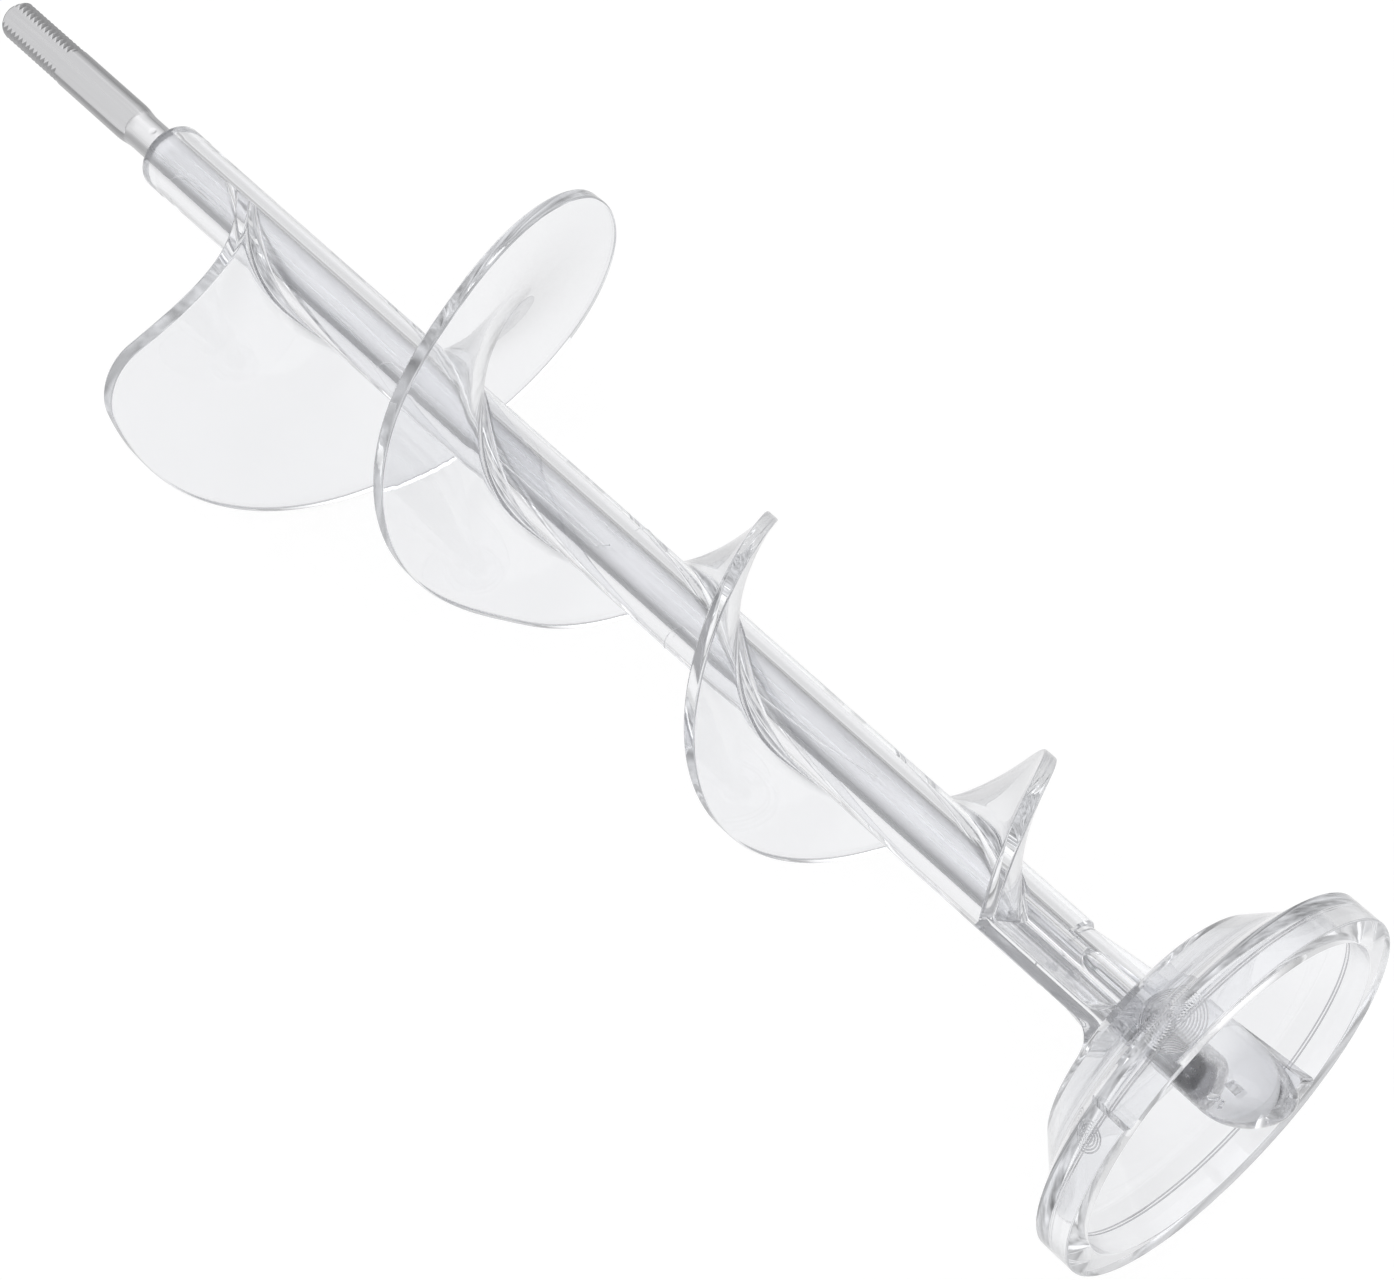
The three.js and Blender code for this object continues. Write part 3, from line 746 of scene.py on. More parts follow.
def shaft_radius(sizes, station, angle):
    """Radius of the bar. The angle is from the tang's width towards its upper flat."""
    shoulder = smooth((station - sizes.tang_reach) / sizes.tang_shoulder)
    round_radius = mix(sizes.tang_end_radius, sizes.diameter / 2, shoulder)
    centre = mix(sizes.tang_width / 2 - sizes.tang_end_radius, 0.0, shoulder)
    across = abs(cos(angle))
    upright = abs(sin(angle))
    radius = centre * across + sqrt(round_radius ** 2 - (centre * upright) ** 2)
    flat = sizes.tang_thickness / 2
    step = sizes.flat_reach - sizes.step_bow * (1 - (across / FLAT_CORNER) ** 2)
    flat += (radius - flat) * smooth((station - step) / STEP_LENGTH) * min(1.0, upright * FLAT_EASE)
    if station < step + STEP_LENGTH:
        radius = min(radius, flat / max(upright, 1e-6))
    if station < sizes.thread_reach:
        phase = (station / sizes.thread_pitch - angle / (2 * pi)) % 1.0
        fade = smooth((sizes.thread_reach - station) / sizes.thread_pitch)
        groove = sizes.thread_depth * (1 - abs(2 * phase - 1)) * fade
        radius = min(radius, sizes.tang_width / 2 - THREAD_RELIEF - groove)
    return min(radius, sizes.tang_width / 2 - sizes.tip_chamfer - THREAD_RELIEF + station)


def shaft_mesh(sizes):
    """The bar, its pressed tang with the cut thread, and its rounded nose, ring by ring."""
    nose = sizes.reach - sizes.nose_radius
    stretches = (
        (sizes.thread_reach, 11), (sizes.tang_reach, 3), (sizes.flat_reach - 2 * sizes.step_bow, 25),
        (sizes.flat_reach + STEP_LENGTH, 35), (sizes.mark_station + 2 * MARK_RADIUS, 29), (nose, 0),
    )
    stations = list(np.arange(0.0, sizes.thread_reach, sizes.thread_pitch / THREAD_RINGS))
    for (first, count), (last, _) in zip(stretches, stretches[1:]):
        stations += list(np.linspace(first, last, count, endpoint=False))
    quarter = [
        angle for first, last, count in QUARTER
        for angle in np.linspace(first, last, count, endpoint=False)
    ]
    angles = [radians(turn + angle) for turn in (0, 90, 180, 270)
              for angle in (quarter if turn in (0, 180) else [90 - value for value in reversed(quarter)])]
    angles = sorted(set(round(angle % (2 * pi), 9) for angle in angles))
    mark = Vector((0, cos(sizes.mark_roll), sin(sizes.mark_roll)))
    start_roll = sizes.tang_roll - pi / 2
    rings = []
    for station in stations:
        ring = []
        for angle in angles:
            radius = shaft_radius(sizes, station, angle)
            side = Vector((0, cos(angle + start_roll), sin(angle + start_roll)))
            aside = hypot(station - sizes.mark_station, radius * side.cross(mark).length)
            if side.dot(mark) > 0 and aside < MARK_RADIUS:
                radius -= MARK_DEPTH * smooth((MARK_RADIUS - aside) / (MARK_RADIUS / 2))
            ring.append((along_axis(station), radius * side.y, radius * side.z))
        rings.append(ring)
    flat_end = sizes.diameter / 2 - sizes.nose_radius
    for station, radius in arc(nose, flat_end, sizes.nose_radius, 90, 0, NOSE_RINGS):
        rings.append([
            (along_axis(station), radius * cos(angle + start_roll), radius * sin(angle + start_roll))
            for angle in angles
        ])
    rings.insert(0, [(along_axis(0.0), y * TIP_FACE, z * TIP_FACE) for _, y, z in rings[0]])
    return ringed("shaft", rings)


class AUGER_OT_shaft(bpy.types.Operator):
    """Build the steel shaft with its flattened, threaded tang"""

    bl_idname = "auger.shaft"
    bl_label = "Steel shaft"

    def execute(self, context):
        shaft = shaft_mesh(context.scene.auger_shaft)
        piece = finish_piece("steel_shaft", shaft, brushed_steel(), STEEL_SHARP_ANGLE, ["drive_shaft"])
        return {"FINISHED"}


# ---- Clear moulding ----

CLEAR_NODES = (
    "shaft_sleeve", "front_flight", "taper_flight", "middle_flight", "rear_flight",
    "drive_vane", "drive_cup", "drive_dog",
)
# Facets round the turned shapes
SLEEVE_STEPS = 128
CUP_STEPS = 384
DOG_STEPS = 96
BORE_STEPS = 128
SCOOP_STEPS = 64
NOTCH_STEPS = 22
BEAD_STEPS = 6
# Longest facets along the turned shapes
SLEEVE_SPACING = 12 * MM
CUP_SPACING = 4 * MM
DOG_SPACING = 2 * MM
BORE_SPACING = 6 * MM
# The film of air between the bar and the plastic
BORE_GAP = 0.06 * MM
# The round lip stands proud of the sleeve over a length and steps down to it
LIP_PROUD = 0.15 * MM
LIP_LENGTH = 5 * MM
LIP_STEP = 0.3 * MM
# The chamfer at the sleeve's end, and how far past that end the neck begins
SLEEVE_CHAMFER = 0.5 * MM
NECK_START = 0.2 * MM
# How far shapes lap into each other before they are joined, and how far the sleeve and the neck do
LAP = 1 * MM
SLEEVE_LAP = 2 * MM
NECK_LAP = 3 * MM
# Rounding of the ring's bore at the rim
BORE_EDGE = 0.3 * MM
# Fine parting lines on the sleeve, as (station in millimetres, roll in degrees)
PARTING_LINES = (
    ((76.8, 148.0), (78.0, 135.4), (79.7, 130.0), (97.0, 129.5)),
    ((157.7, 151.3), (159.0, 137.8), (161.1, 128.6), (176.0, 128.6)),
    ((200.0, 130.0), (221.8, 128.1), (234.7, 128.1), (237.1, 114.0)),
    ((237.9, 66.0), (237.2, 50.0), (237.7, 32.7), (244.1, 51.7), (256.8, 69.0)),
    ((260.7, 203.2), (261.4, 175.0), (262.2, 153.3), (264.5, 132.8), (290.8, 132.3), (308.2, 124.7),
     (323.7, 107.9)),
)
BEAD_RADIUS = 0.17 * MM
# About how many millimetres a degree takes round the sleeve
DEGREE_LENGTH = 0.15
# Patches of ripples inside the cup's wall, as (station in millimetres, roll in degrees, ripples), their
# spacing in millimetres and their stretch along the axis
RIPPLES = ((418.2, 110.6, 11), (419.8, 150.0, 5))
RIPPLE_SPACING = 0.6
RIPPLE_STRETCH = 1.1
RIPPLE_RADIUS = 0.19 * MM
# Points round a ripple, and how many more for each millimetre of its size
RIPPLE_POINTS = 12
RIPPLE_POINTS_PER_MM = 10
# A round-ended scoop in the neck, from past the sleeve's end to before the cup's back
SCOOP_START = 9.3 * MM
SCOOP_END = 4.4 * MM
SCOOP_RADIUS = 3.6 * MM
SCOOP_DEPTH = 1.1 * MM
SCOOP_ROLL = radians(98.0)
# Small slanting pockets in the dog beside the bar's nose, as (station, side) in millimetres, with their
# height over the axis and their rise along it
DOG_POCKETS = (
    ((423.6, -2.5), (423.9, -1.3), (426.2, -0.7), (426.2, -2.0), (424.4, -2.8)),
    ((426.3, -0.9), (427.2, -0.6), (427.9, -3.9), (427.1, -4.3)),
    ((424.8, 1.7), (425.7, 3.5), (431.8, 3.4), (432.0, 0.8)),
)
POCKET_HEIGHT = 5.5 * MM
POCKET_DEPTH = 0.9 * MM
POCKET_SLANT = 0.5
# The round pocket about the bar's nose: how far it reaches past the nose, and its radius
NOSE_POCKET = 4.3 * MM
NOSE_POCKET_RADIUS = 5.05 * MM
# Rows of points along the flight, and columns of one side of its section
ROWS = 440
HALF_COLUMNS = 26
# Columns where the skirt, the fillet, the web and the rim edge begin and end
SKIRT_FOOT, SKIRT_TOP, FILLET_TOP, WEB_TOP = 1, 2, 11, 19
# Shares of the rows up to the end of the blend, the straight leading edge and its corner
BLEND_ROWS, STRAIGHT_ROWS, CORNER_ROWS = 0.025, 0.12, 0.16
SKIRT_DEPTH = 1.0 * MM
BLEND_SINK = 0.06 * MM
# Rows of points along the vane, closest at its foot, and how deep it stands in the sleeve
VANE_ROWS = 40
VANE_EASE = 1.8
VANE_SINK = 3 * MM


def flight_tree(sizes):
    """The flight by its rule: a helicoid with root fillets, a straight leading edge and two tapers."""
    lead = sizes.sleeve_diameter / 2 + sizes.fillet
    centre = sizes.front_diameter / 2 - sizes.corner_radius
    reach = lead - sizes.corner_radius
    straight_edge = sqrt(centre ** 2 - reach ** 2)
    work = GeometryTree("Screw flight", {
        "Rows": ROWS, "Columns": 2 * HALF_COLUMNS, "Pitch": sizes.pitch,
        "Start": along_axis(sizes.start), "End": along_axis(sizes.end), "Start Roll": sizes.start_roll,
        "Thickness": sizes.thickness, "Fillet": sizes.fillet, "Edge Radius": sizes.edge_radius,
        "Front Root": sizes.front_root, "Rear Root": sizes.rear_root,
        "Sleeve Radius": sizes.sleeve_diameter / 2, "Front Radius": sizes.front_diameter / 2,
        "Shoulder Radius": sizes.shoulder_diameter / 2, "Rear Radius": sizes.rear_diameter / 2,
        "Taper Start": along_axis(sizes.taper_start), "Shoulder Start": along_axis(sizes.shoulder_start),
        "Shoulder End": along_axis(sizes.shoulder_end), "Taper End": along_axis(sizes.taper_end),
        "Lead Distance": lead, "Straight Edge": straight_edge, "Straight Turn": atan2(straight_edge, lead),
        "Corner Radius": sizes.corner_radius, "Corner Turn": acos(reach / centre),
    })
    grid = work.node("GeometryNodeMeshGrid", {
        "Size X": 1.0, "Size Y": 1.0, "Vertices X": work.size("Rows"), "Vertices Y": work.size("Columns")})
    position = work.node("GeometryNodeInputPosition", {})
    split = work.node("ShaderNodeSeparateXYZ", {"Vector": position.outputs[0]})
    row = Field(work.tree, split.outputs["X"]) + 0.5
    last = work.size("Columns") - 1.0
    column = ((Field(work.tree, split.outputs["Y"]) + 0.5) * last).math("ROUND")
    ring = column.math("MINIMUM", last - column)
    side = column.choose(work.size("Columns") / 2.0, -1.0 + 0.0 * column, 1.0 + 0.0 * column)

    fillet = work.size("Fillet")
    lead_distance = work.size("Lead Distance")
    sleeve = work.size("Sleeve Radius")
    corner_turn = work.size("Corner Turn")
    straight_turn = work.size("Straight Turn")
    blend_turn = fillet / 2.0 / lead_distance
    end_turn = (work.size("End") - work.size("Start")) / work.size("Pitch") * (2 * pi)
    blend = row.share(0.0, BLEND_ROWS)
    edge_place = work.size("Straight Edge") * row.share(BLEND_ROWS, STRAIGHT_ROWS)
    turn = (
        blend_turn * (blend - 1.0)
        + edge_place.math("ARCTAN2", lead_distance)
        + (corner_turn - straight_turn) * row.share(STRAIGHT_ROWS, CORNER_ROWS)
        + (end_turn - corner_turn) * row.share(CORNER_ROWS, 1.0)
    )
    station = work.size("Start") + work.size("Pitch") * turn / (2 * pi)

    def fillet_growth(distance):
        """How much the root fillet adds at a distance from the sleeve."""
        inside = fillet - distance.math("MAXIMUM", 0.0).math("MINIMUM", fillet)
        return fillet - (fillet * fillet - inside * inside).math("MAXIMUM", 0.0).math("SQRT")

    blend_radius = sleeve + fillet_growth(lead_distance * (0.0 - turn)) - BLEND_SINK * (1.0 - blend)
    line_radius = lead_distance / turn.math("MINIMUM", straight_turn).math("COSINE")
    corner = work.size("Corner Radius")
    corner_centre = work.size("Front Radius") - corner
    offset = turn.math("MINIMUM", corner_turn) - corner_turn
    swing = corner_centre * offset.math("SINE")
    corner_reach = (corner * corner - swing * swing).math("MAXIMUM", 0.0).math("SQRT")
    corner_edge = corner_centre * offset.math("COSINE") + corner_reach
    leading = turn.choose(0.0, blend_radius, turn.choose(straight_turn, line_radius, corner_edge))

    front = work.size("Front Radius")
    shoulder = work.size("Shoulder Radius")
    rear = work.size("Rear Radius")
    first_step = station.smooth_share(work.size("Taper Start"), work.size("Shoulder Start"))
    last_step = station.smooth_share(work.size("Shoulder End"), work.size("Taper End"))
    first = front + (shoulder - front) * first_step
    taper = first + (rear - first) * last_step
    rim = leading.math("MINIMUM", taper)

    edge = work.size("Edge Radius")
    scale = ((rim - sleeve) / (fillet + edge)).clamp()
    fillet_angle = ring.share(float(SKIRT_TOP), float(FILLET_TOP)) * (pi / 2)
    edge_angle = ring.share(float(WEB_TOP), float(HALF_COLUMNS - 1)) * (pi / 2)
    web_foot = sleeve + fillet * scale
    web_top = rim - edge * scale
    radius = (
        sleeve - SKIRT_DEPTH * (1.0 - ring.share(float(SKIRT_FOOT), float(SKIRT_TOP)))
        + fillet * scale * (1.0 - fillet_angle.math("COSINE"))
        + (web_top - web_foot) * ring.share(float(FILLET_TOP), float(WEB_TOP))
        + edge * scale * edge_angle.math("SINE")
    )
    spread = side.choose(0.0, work.size("Front Root"), work.size("Rear Root")) / fillet
    half = work.size("Thickness") / 2.0 + fillet_growth(radius - sleeve) * spread
    half = half - edge * scale * (1.0 - edge_angle.math("COSINE"))
    slope = work.size("Pitch") / (2 * pi) / radius
    half = half * (1.0 + slope * slope).math("SQRT") * ring.share(0.0, float(SKIRT_FOOT))
    roll = work.size("Start Roll") + turn
    place = work.vector(
        station + side * half, radius * roll.math("COSINE"), radius * roll.math("SINE"))
    moved = work.node("GeometryNodeSetPosition", {"Geometry": grid.outputs[0], "Position": place})
    work.finish(moved.outputs[0])
    return work


def growth(distance, size):
    """How much a filleted plate grows at a distance from the wall it stands on."""
    inside = size - min(max(distance, 0.0), size)
    return size - sqrt(max(size * size - inside * inside, 0.0))


def vane_mesh(screw, cup):
    """The radial plate from the flight's end to the cup's back, with fillets at its root and foot."""
    sleeve = screw.sleeve_diameter / 2
    rim = screw.rear_diameter / 2
    edge = screw.edge_radius
    edge_angles = np.linspace(0, pi / 2, 6)[1:]
    radii = [sleeve - VANE_SINK, sleeve - VANE_SINK, sleeve]
    radii += [sleeve + screw.fillet * (1 - cos(angle)) for angle in np.linspace(0, pi / 2, 10)[1:]]
    radii += list(np.linspace(sleeve + screw.fillet, rim - edge, 10)[1:])
    rounding = [0.0] * len(radii) + [edge * (1 - cos(angle)) for angle in edge_angles]
    radii += [rim - edge + edge * sin(angle) for angle in edge_angles]
    spread = screw.front_root / screw.fillet
    front = [
        (screw.thickness / 2 + growth(radius - sleeve, screw.fillet) * spread - cut)
        * hypot(1, screw.pitch / (2 * pi * radius))
        for radius, cut in zip(radii, rounding)
    ]
    columns = range(len(radii))
    points = []
    for share in np.linspace(0, 1, VANE_ROWS):
        for side, order in ((-1, columns), (1, reversed(columns))):
            for column in order:
                radius = radii[column]
                first = screw.end - front[column]
                station = first + (cup.back + LAP - first) * (1 - (1 - share) ** VANE_EASE)
                foot = growth(cup.back - station, screw.vane_flare)
                root = growth(radius - sleeve, screw.fillet)
                half = screw.vane_thickness / 2 + foot + root - rounding[column] if column else 0.0
                points.append((along_axis(station), radius, side * half))
    mesh = mesh_from("vane", points, ring_faces(VANE_ROWS, 2 * len(radii)))
    turn = (screw.end - screw.start) / screw.pitch * 2 * pi
    mesh.transform(Matrix.Rotation(screw.start_roll + turn, 4, "X"))
    tidy_mesh(mesh)
    return mesh


def wall_start(cup):
    """Station and radius where the cup's sloping wall leaves its rounded back."""
    station = cup.back + cup.bend_radius * (1 - sin(cup.slope))
    return station, cup.back_radius + cup.bend_radius * cos(cup.slope)


def flange_station(cup):
    """Station where the outside of the cup's sloping wall meets the ring's flange."""
    station, radius = wall_start(cup)
    return station + (cup.flange_radius - radius) / tan(cup.slope)


def wall_inside(cup):
    """Station and radius where the inside of the cup's sloping wall begins."""
    station, radius = wall_start(cup)
    return station + cup.wall * sin(cup.slope), radius - cup.wall * cos(cup.slope)


def ledge_station(cup):
    """Station where the inside of the cup's sloping wall meets the ring's bore."""
    station, radius = wall_inside(cup)
    return station + (cup.bore_radius - radius) / tan(cup.slope)


def wall_radius(cup, station):
    """Radius of the cup's inside at a station on its sloping wall or its bore."""
    inner, inner_radius = wall_inside(cup)
    return min(cup.bore_radius, inner_radius + (station - inner) * tan(cup.slope))


def sleeve_profile(screw, cup):
    """The sleeve as a turned profile, from its round lip to the chamfer beside the neck."""
    sleeve = screw.sleeve_diameter / 2
    lip = sleeve + LIP_PROUD
    lip_end = screw.sleeve_start + screw.lip_radius + LIP_LENGTH
    inside = cup.neck_start_radius - LAP
    return dense([
        (screw.sleeve_start, 0.0),
        *arc(screw.sleeve_start + screw.lip_radius, lip - screw.lip_radius, screw.lip_radius, 180, 90, 8),
        (lip_end, lip),
        (lip_end + LIP_STEP, sleeve),
        (screw.sleeve_end - SLEEVE_CHAMFER, sleeve),
        (screw.sleeve_end, sleeve - SLEEVE_CHAMFER),
        (screw.sleeve_end + NECK_START, inside),
        (screw.sleeve_end + SLEEVE_LAP, inside),
        (screw.sleeve_end + SLEEVE_LAP, 0.0),
    ], SLEEVE_SPACING)


def cup_profile(screw, cup):
    """The neck and the cup as one turned profile, from inside the sleeve round to the cup's floor."""
    neck = screw.sleeve_end - NECK_LAP
    floor = cup.back + cup.wall
    inner, inner_radius = wall_inside(cup)
    floor_radius = inner_radius + (floor - inner) * tan(cup.slope)
    flange = flange_station(cup)
    ledge = ledge_station(cup)
    ring = cup.ring_diameter / 2
    fillet = cup.neck_fillet
    return dense([
        (neck, 0.0),
        (neck, cup.neck_start_radius),
        (screw.sleeve_end + NECK_START, cup.neck_start_radius),
        *arc(cup.back - fillet, cup.neck_end_radius + fillet, fillet, -90, 0, 10),
        *arc(cup.back + cup.bend_radius, cup.back_radius, cup.bend_radius, 180, 90 + degrees(cup.slope), 6),
        (flange, cup.flange_radius),
        (flange + cup.flange_reach, ring),
        *arc(cup.rim - cup.ring_edge, ring - cup.ring_edge, cup.ring_edge, 90, 0, 3),
        *arc(cup.rim - BORE_EDGE, cup.bore_radius + BORE_EDGE, BORE_EDGE, 0, -90, 2),
        *arc(ledge + 2 * cup.ledge_bead + cup.ledge_gap, cup.bore_radius, cup.ledge_bead, 0, -180, 4),
        *arc(ledge + 2 * cup.ledge_bead, cup.bore_radius, cup.ledge_bead, 0, -180, 4),
        (ledge, cup.bore_radius),
        (floor, floor_radius),
        (floor, 0.0),
    ], CUP_SPACING)


def dense_path(path):
    """The path of (station in mm, roll in degrees) with points about a millimetre apart on the sleeve."""
    result = []
    for (station, roll), (next_station, next_roll) in zip(path, path[1:]):
        count = int(np.ceil(hypot(next_station - station, (next_roll - roll) * DEGREE_LENGTH)))
        result += [
            (mix(station, next_station, step / count), mix(roll, next_roll, step / count))
            for step in range(count)
        ]
    return [*result, path[-1]]


def on_turned(path, radius_at):
    """Points at (station in mm, roll in degrees) on a turned surface."""
    points = []
    for station, roll in path:
        radius = radius_at(station * MM)
        angle = radians(roll)
        points.append(np.array((along_axis(station * MM), radius * cos(angle), radius * sin(angle))))
    return points


def bead_mesh(points, radius, closed=False):
    """A fine round bead along points on a turned surface, open or as a closed loop."""
    count = len(points)
    rings = []
    for index, point in enumerate(points):
        after = (index + 1) % count if closed else min(index + 1, count - 1)
        before = index - 1 if closed else max(index - 1, 0)
        along = points[after] - points[before]
        outward = point * (0, 1, 1) / hypot(point[1], point[2])
        across = np.cross(along / np.linalg.norm(along), outward)
        rings.append([
            tuple(point + radius * (outward * sin(angle) + across * cos(angle)))
            for angle in np.linspace(0, 2 * pi, BEAD_STEPS, endpoint=False)
        ])
    if not closed:
        return ringed("bead", rings)
    points = [point for ring in rings for point in ring]
    mesh = mesh_from("bead", points, ring_faces(count, BEAD_STEPS, closed=True))
    tidy_mesh(mesh)
    return mesh


def add_parting_lines(body, sleeve_radius):
    """Fine raised lines along their paths on the sleeve."""
    for path in PARTING_LINES:
        points = on_turned(dense_path(path), lambda station: sleeve_radius)
        body = combine(body, bead_mesh(points, BEAD_RADIUS), "UNION")
    return body


def add_ripples(body, cup):
    """Closed ripples inside the near wall of the cup, one round the other."""
    for station, roll, count in RIPPLES:
        turn = degrees(MM / wall_radius(cup, station * MM))
        for index in range(count):
            size = RIPPLE_SPACING * (index + 1)
            steps = int(RIPPLE_POINTS + RIPPLE_POINTS_PER_MM * size)
            path = [
                (station + size * RIPPLE_STRETCH * cos(angle), roll + size * turn * sin(angle))
                for angle in np.linspace(0, 2 * pi, steps, endpoint=False)
            ]
            points = on_turned(path, lambda station: wall_radius(cup, station))
            body = combine(body, bead_mesh(points, RIPPLE_RADIUS, closed=True), "UNION")
    return body


def scoop_mesh(screw, cup):
    """What a round-ended scoop takes out of the neck beside the vane."""
    scoop = turned("scoop", [
        *arc(screw.sleeve_end + SCOOP_START, 0.0, SCOOP_RADIUS, 180, 90, 10),
        *arc(cup.back - SCOOP_END, 0.0, SCOOP_RADIUS, 90, 0, 10),
    ], SCOOP_STEPS)
    reach = cup.neck_start_radius + SCOOP_RADIUS - SCOOP_DEPTH
    scoop.transform(Matrix.Translation((0, reach * cos(SCOOP_ROLL), reach * sin(SCOOP_ROLL))))
    return scoop


def dog_mesh(cup):
    """The eccentric boss with its leaning dome, joined to the tab at its side."""
    start = cup.back + cup.wall - LAP
    top = cup.rim + cup.dog_proud
    dome_start = top - cup.dome_reach
    dome = [
        (dome_start + cup.dome_reach * sin(angle), cup.dog_radius * cos(angle))
        for angle in np.linspace(0, pi / 2, 25)[:-1]
    ]
    profile = dense([(start, 0.0), (start, cup.dog_radius), *dome, (top, 0.0)], DOG_SPACING)
    boss = turned("dog_boss", profile, DOG_STEPS)
    for vertex in boss.vertices:
        rise = max(0.0, vertex.co.x - along_axis(dome_start)) / cup.dome_reach
        vertex.co.y += cup.dome_lean * rise * rise
    end = along_axis(cup.rim + cup.tab_proud)
    corner = cup.tab_corner
    outline = [(along_axis(start), 0.0), (end, 0.0)]
    outline += [
        (end - corner + corner * cos(angle), cup.dog_radius - corner + corner * sin(angle))
        for angle in np.linspace(0, pi / 2, 8)
    ]
    outline += [(along_axis(start), cup.dog_radius - cup.tab_flare)]
    place = Matrix.Rotation(cup.tab_roll, 4, "X") @ Matrix.Translation((0, 0, -cup.tab_width))
    tab = extruded("dog_tab", outline, cup.tab_width, place)
    dog = combine(boss, tab, "UNION")
    turn = Matrix.Rotation(cup.dog_roll, 4, "X")
    dog.transform(turn @ Matrix.Translation((0, cup.dog_offset_y, -cup.dog_offset_z)))
    for pocket in DOG_POCKETS:
        outline = [(along_axis(station * MM), side * MM) for station, side in pocket]
        slant = Matrix.Identity(4)
        slant[2][0] = POCKET_SLANT
        slant[2][3] = POCKET_HEIGHT - cup.dog_offset_z - POCKET_SLANT * outline[0][0]
        dog = combine(dog, extruded("pocket", outline, POCKET_DEPTH, turn @ slant), "DIFFERENCE")
    return dog


def notch_mesh(cup):
    """What the notch takes out of the rim ring."""
    half = degrees(cup.notch_angle / 2)
    ring = cup.ring_diameter / 2
    outline = arc(0.0, 0.0, ring - cup.notch_depth, -half, half, NOTCH_STEPS)
    outline += arc(0.0, 0.0, ring + cup.notch_depth, half, -half, NOTCH_STEPS)
    flange = flange_station(cup)
    place = Matrix(((0, 0, 1, along_axis(flange)), (1, 0, 0, 0), (0, 1, 0, 0), (0, 0, 0, 1)))
    turn = Matrix.Rotation(cup.notch_roll, 4, "X")
    return extruded("notch", outline, cup.rim + cup.notch_depth - flange, turn @ place)


def bore_mesh(shaft, screw, cup):
    """What the moulding leaves for the bar: a bore with a film of air and a round pocket for the nose."""
    radius = shaft.diameter / 2 + BORE_GAP
    start = screw.sleeve_start - LAP
    floor = cup.back + cup.wall
    dome = [
        (shaft.reach + NOSE_POCKET * sin(angle), NOSE_POCKET_RADIUS * cos(angle))
        for angle in np.linspace(0, pi / 2, 17)[:-1]
    ]
    return turned("bore", dense([
        (start, 0.0), (start, radius), (floor, radius),
        (floor + NOSE_POCKET_RADIUS - radius, NOSE_POCKET_RADIUS), *dome, (shaft.reach + NOSE_POCKET, 0.0),
    ], BORE_SPACING), BORE_STEPS)


class AUGER_OT_moulding(bpy.types.Operator):
    """Build the clear moulding: sleeve, flight, vane, cup and dog in one piece"""

    bl_idname = "auger.moulding"
    bl_label = "Clear moulding"

    def execute(self, context):
        screw = context.scene.auger_screw
        cup = context.scene.auger_cup
        material = clear_plastic()
        cup_body = turned("cup", cup_profile(screw, cup), CUP_STEPS)
        cup_body = combine(cup_body, notch_mesh(cup), "DIFFERENCE")
        body = turned("sleeve", sleeve_profile(screw, cup), SLEEVE_STEPS)
        body = combine(body, cup_body, "UNION")
        body = add_parting_lines(body, screw.sleeve_diameter / 2)
        body = add_ripples(body, cup)
        body = combine(body, flight_tree(screw).mesh(material), "UNION")
        body = combine(body, vane_mesh(screw, cup), "UNION")
        body = combine(body, scoop_mesh(screw, cup), "DIFFERENCE")
        body = combine(body, dog_mesh(cup), "UNION")
        body = combine(body, bore_mesh(context.scene.auger_shaft, screw, cup), "DIFFERENCE")
        piece = finish_piece("clear_moulding", body, material, PLASTIC_SHARP_ANGLE, CLEAR_NODES)
        return {"FINISHED"}


# ---- Stage ----

# The camera, fitted to the photograph
CAMERA_PLACE = (0.196014, -0.324457, 0.652352)
CAMERA_RIGHT = (0.66937, 0.74293, 0.0)
CAMERA_UP = (-0.598217, 0.538979, 0.592990)
CAMERA_FORWARD = (-0.440546, 0.396934, -0.805210)
LENS = 93.04
SENSOR_WIDTH = 36.0
VIEW_END = 20.0
# Disk lamps, as (place, diameter, power), and the point that they face
LAMPS = {"key": ((0.5, -0.9, 1.5), 1.7, 5.5), "fill": ((-1.1, 0.9, 1.1), 2.0, 1.4)}
LAMP_TARGET = (-0.2, 0, 0)
# What the studio gives to the rays that light the object
WORLD_LIGHT = 0.6
# A dark flag low at the far side. Its edges are parts of a ray's direction
FLAG_LIGHT = 0.5
FLAG_SIDE = (0.1, 0.6)
FLAG_TOP = (0.15, 0.5)
FLAG_FOOT = (0.0, 0.06)
# A bright canopy overhead. Its spread is the cosine of the angle from its middle
CANOPY_LIGHT = 1.9
CANOPY_DIRECTION = (-0.45, -0.27, 0.851)
CANOPY_SPREAD = (0.38, 1.0)
# Rays that reflect more than once inside the plastic see a dimmer studio without the canopy
STUDIO_CAUGHT_DEPTH = 1.5
CAUGHT_LOSS = 0.22
# The studio is dimmer beyond the tip of the auger
END_SPREAD = (-0.82, -0.6)
END_LOSS = 0.3
# The floor's half width, its height and its own light, which is greyer for rays at a slant
FLOOR_HALF = 3
FLOOR_HEIGHT = -0.0604
FLOOR_COLOUR = (0.25, 0.25, 0.25, 1.0)
FLOOR_ROUGHNESS = 0.9
FLOOR_GLOW = 0.54
SHOWN_GLOW = 0.27
CAMERA_GLOW = 0.03
SLANT_FACING = (0.22, 0.6)
SLANT_SHADE = 0.24


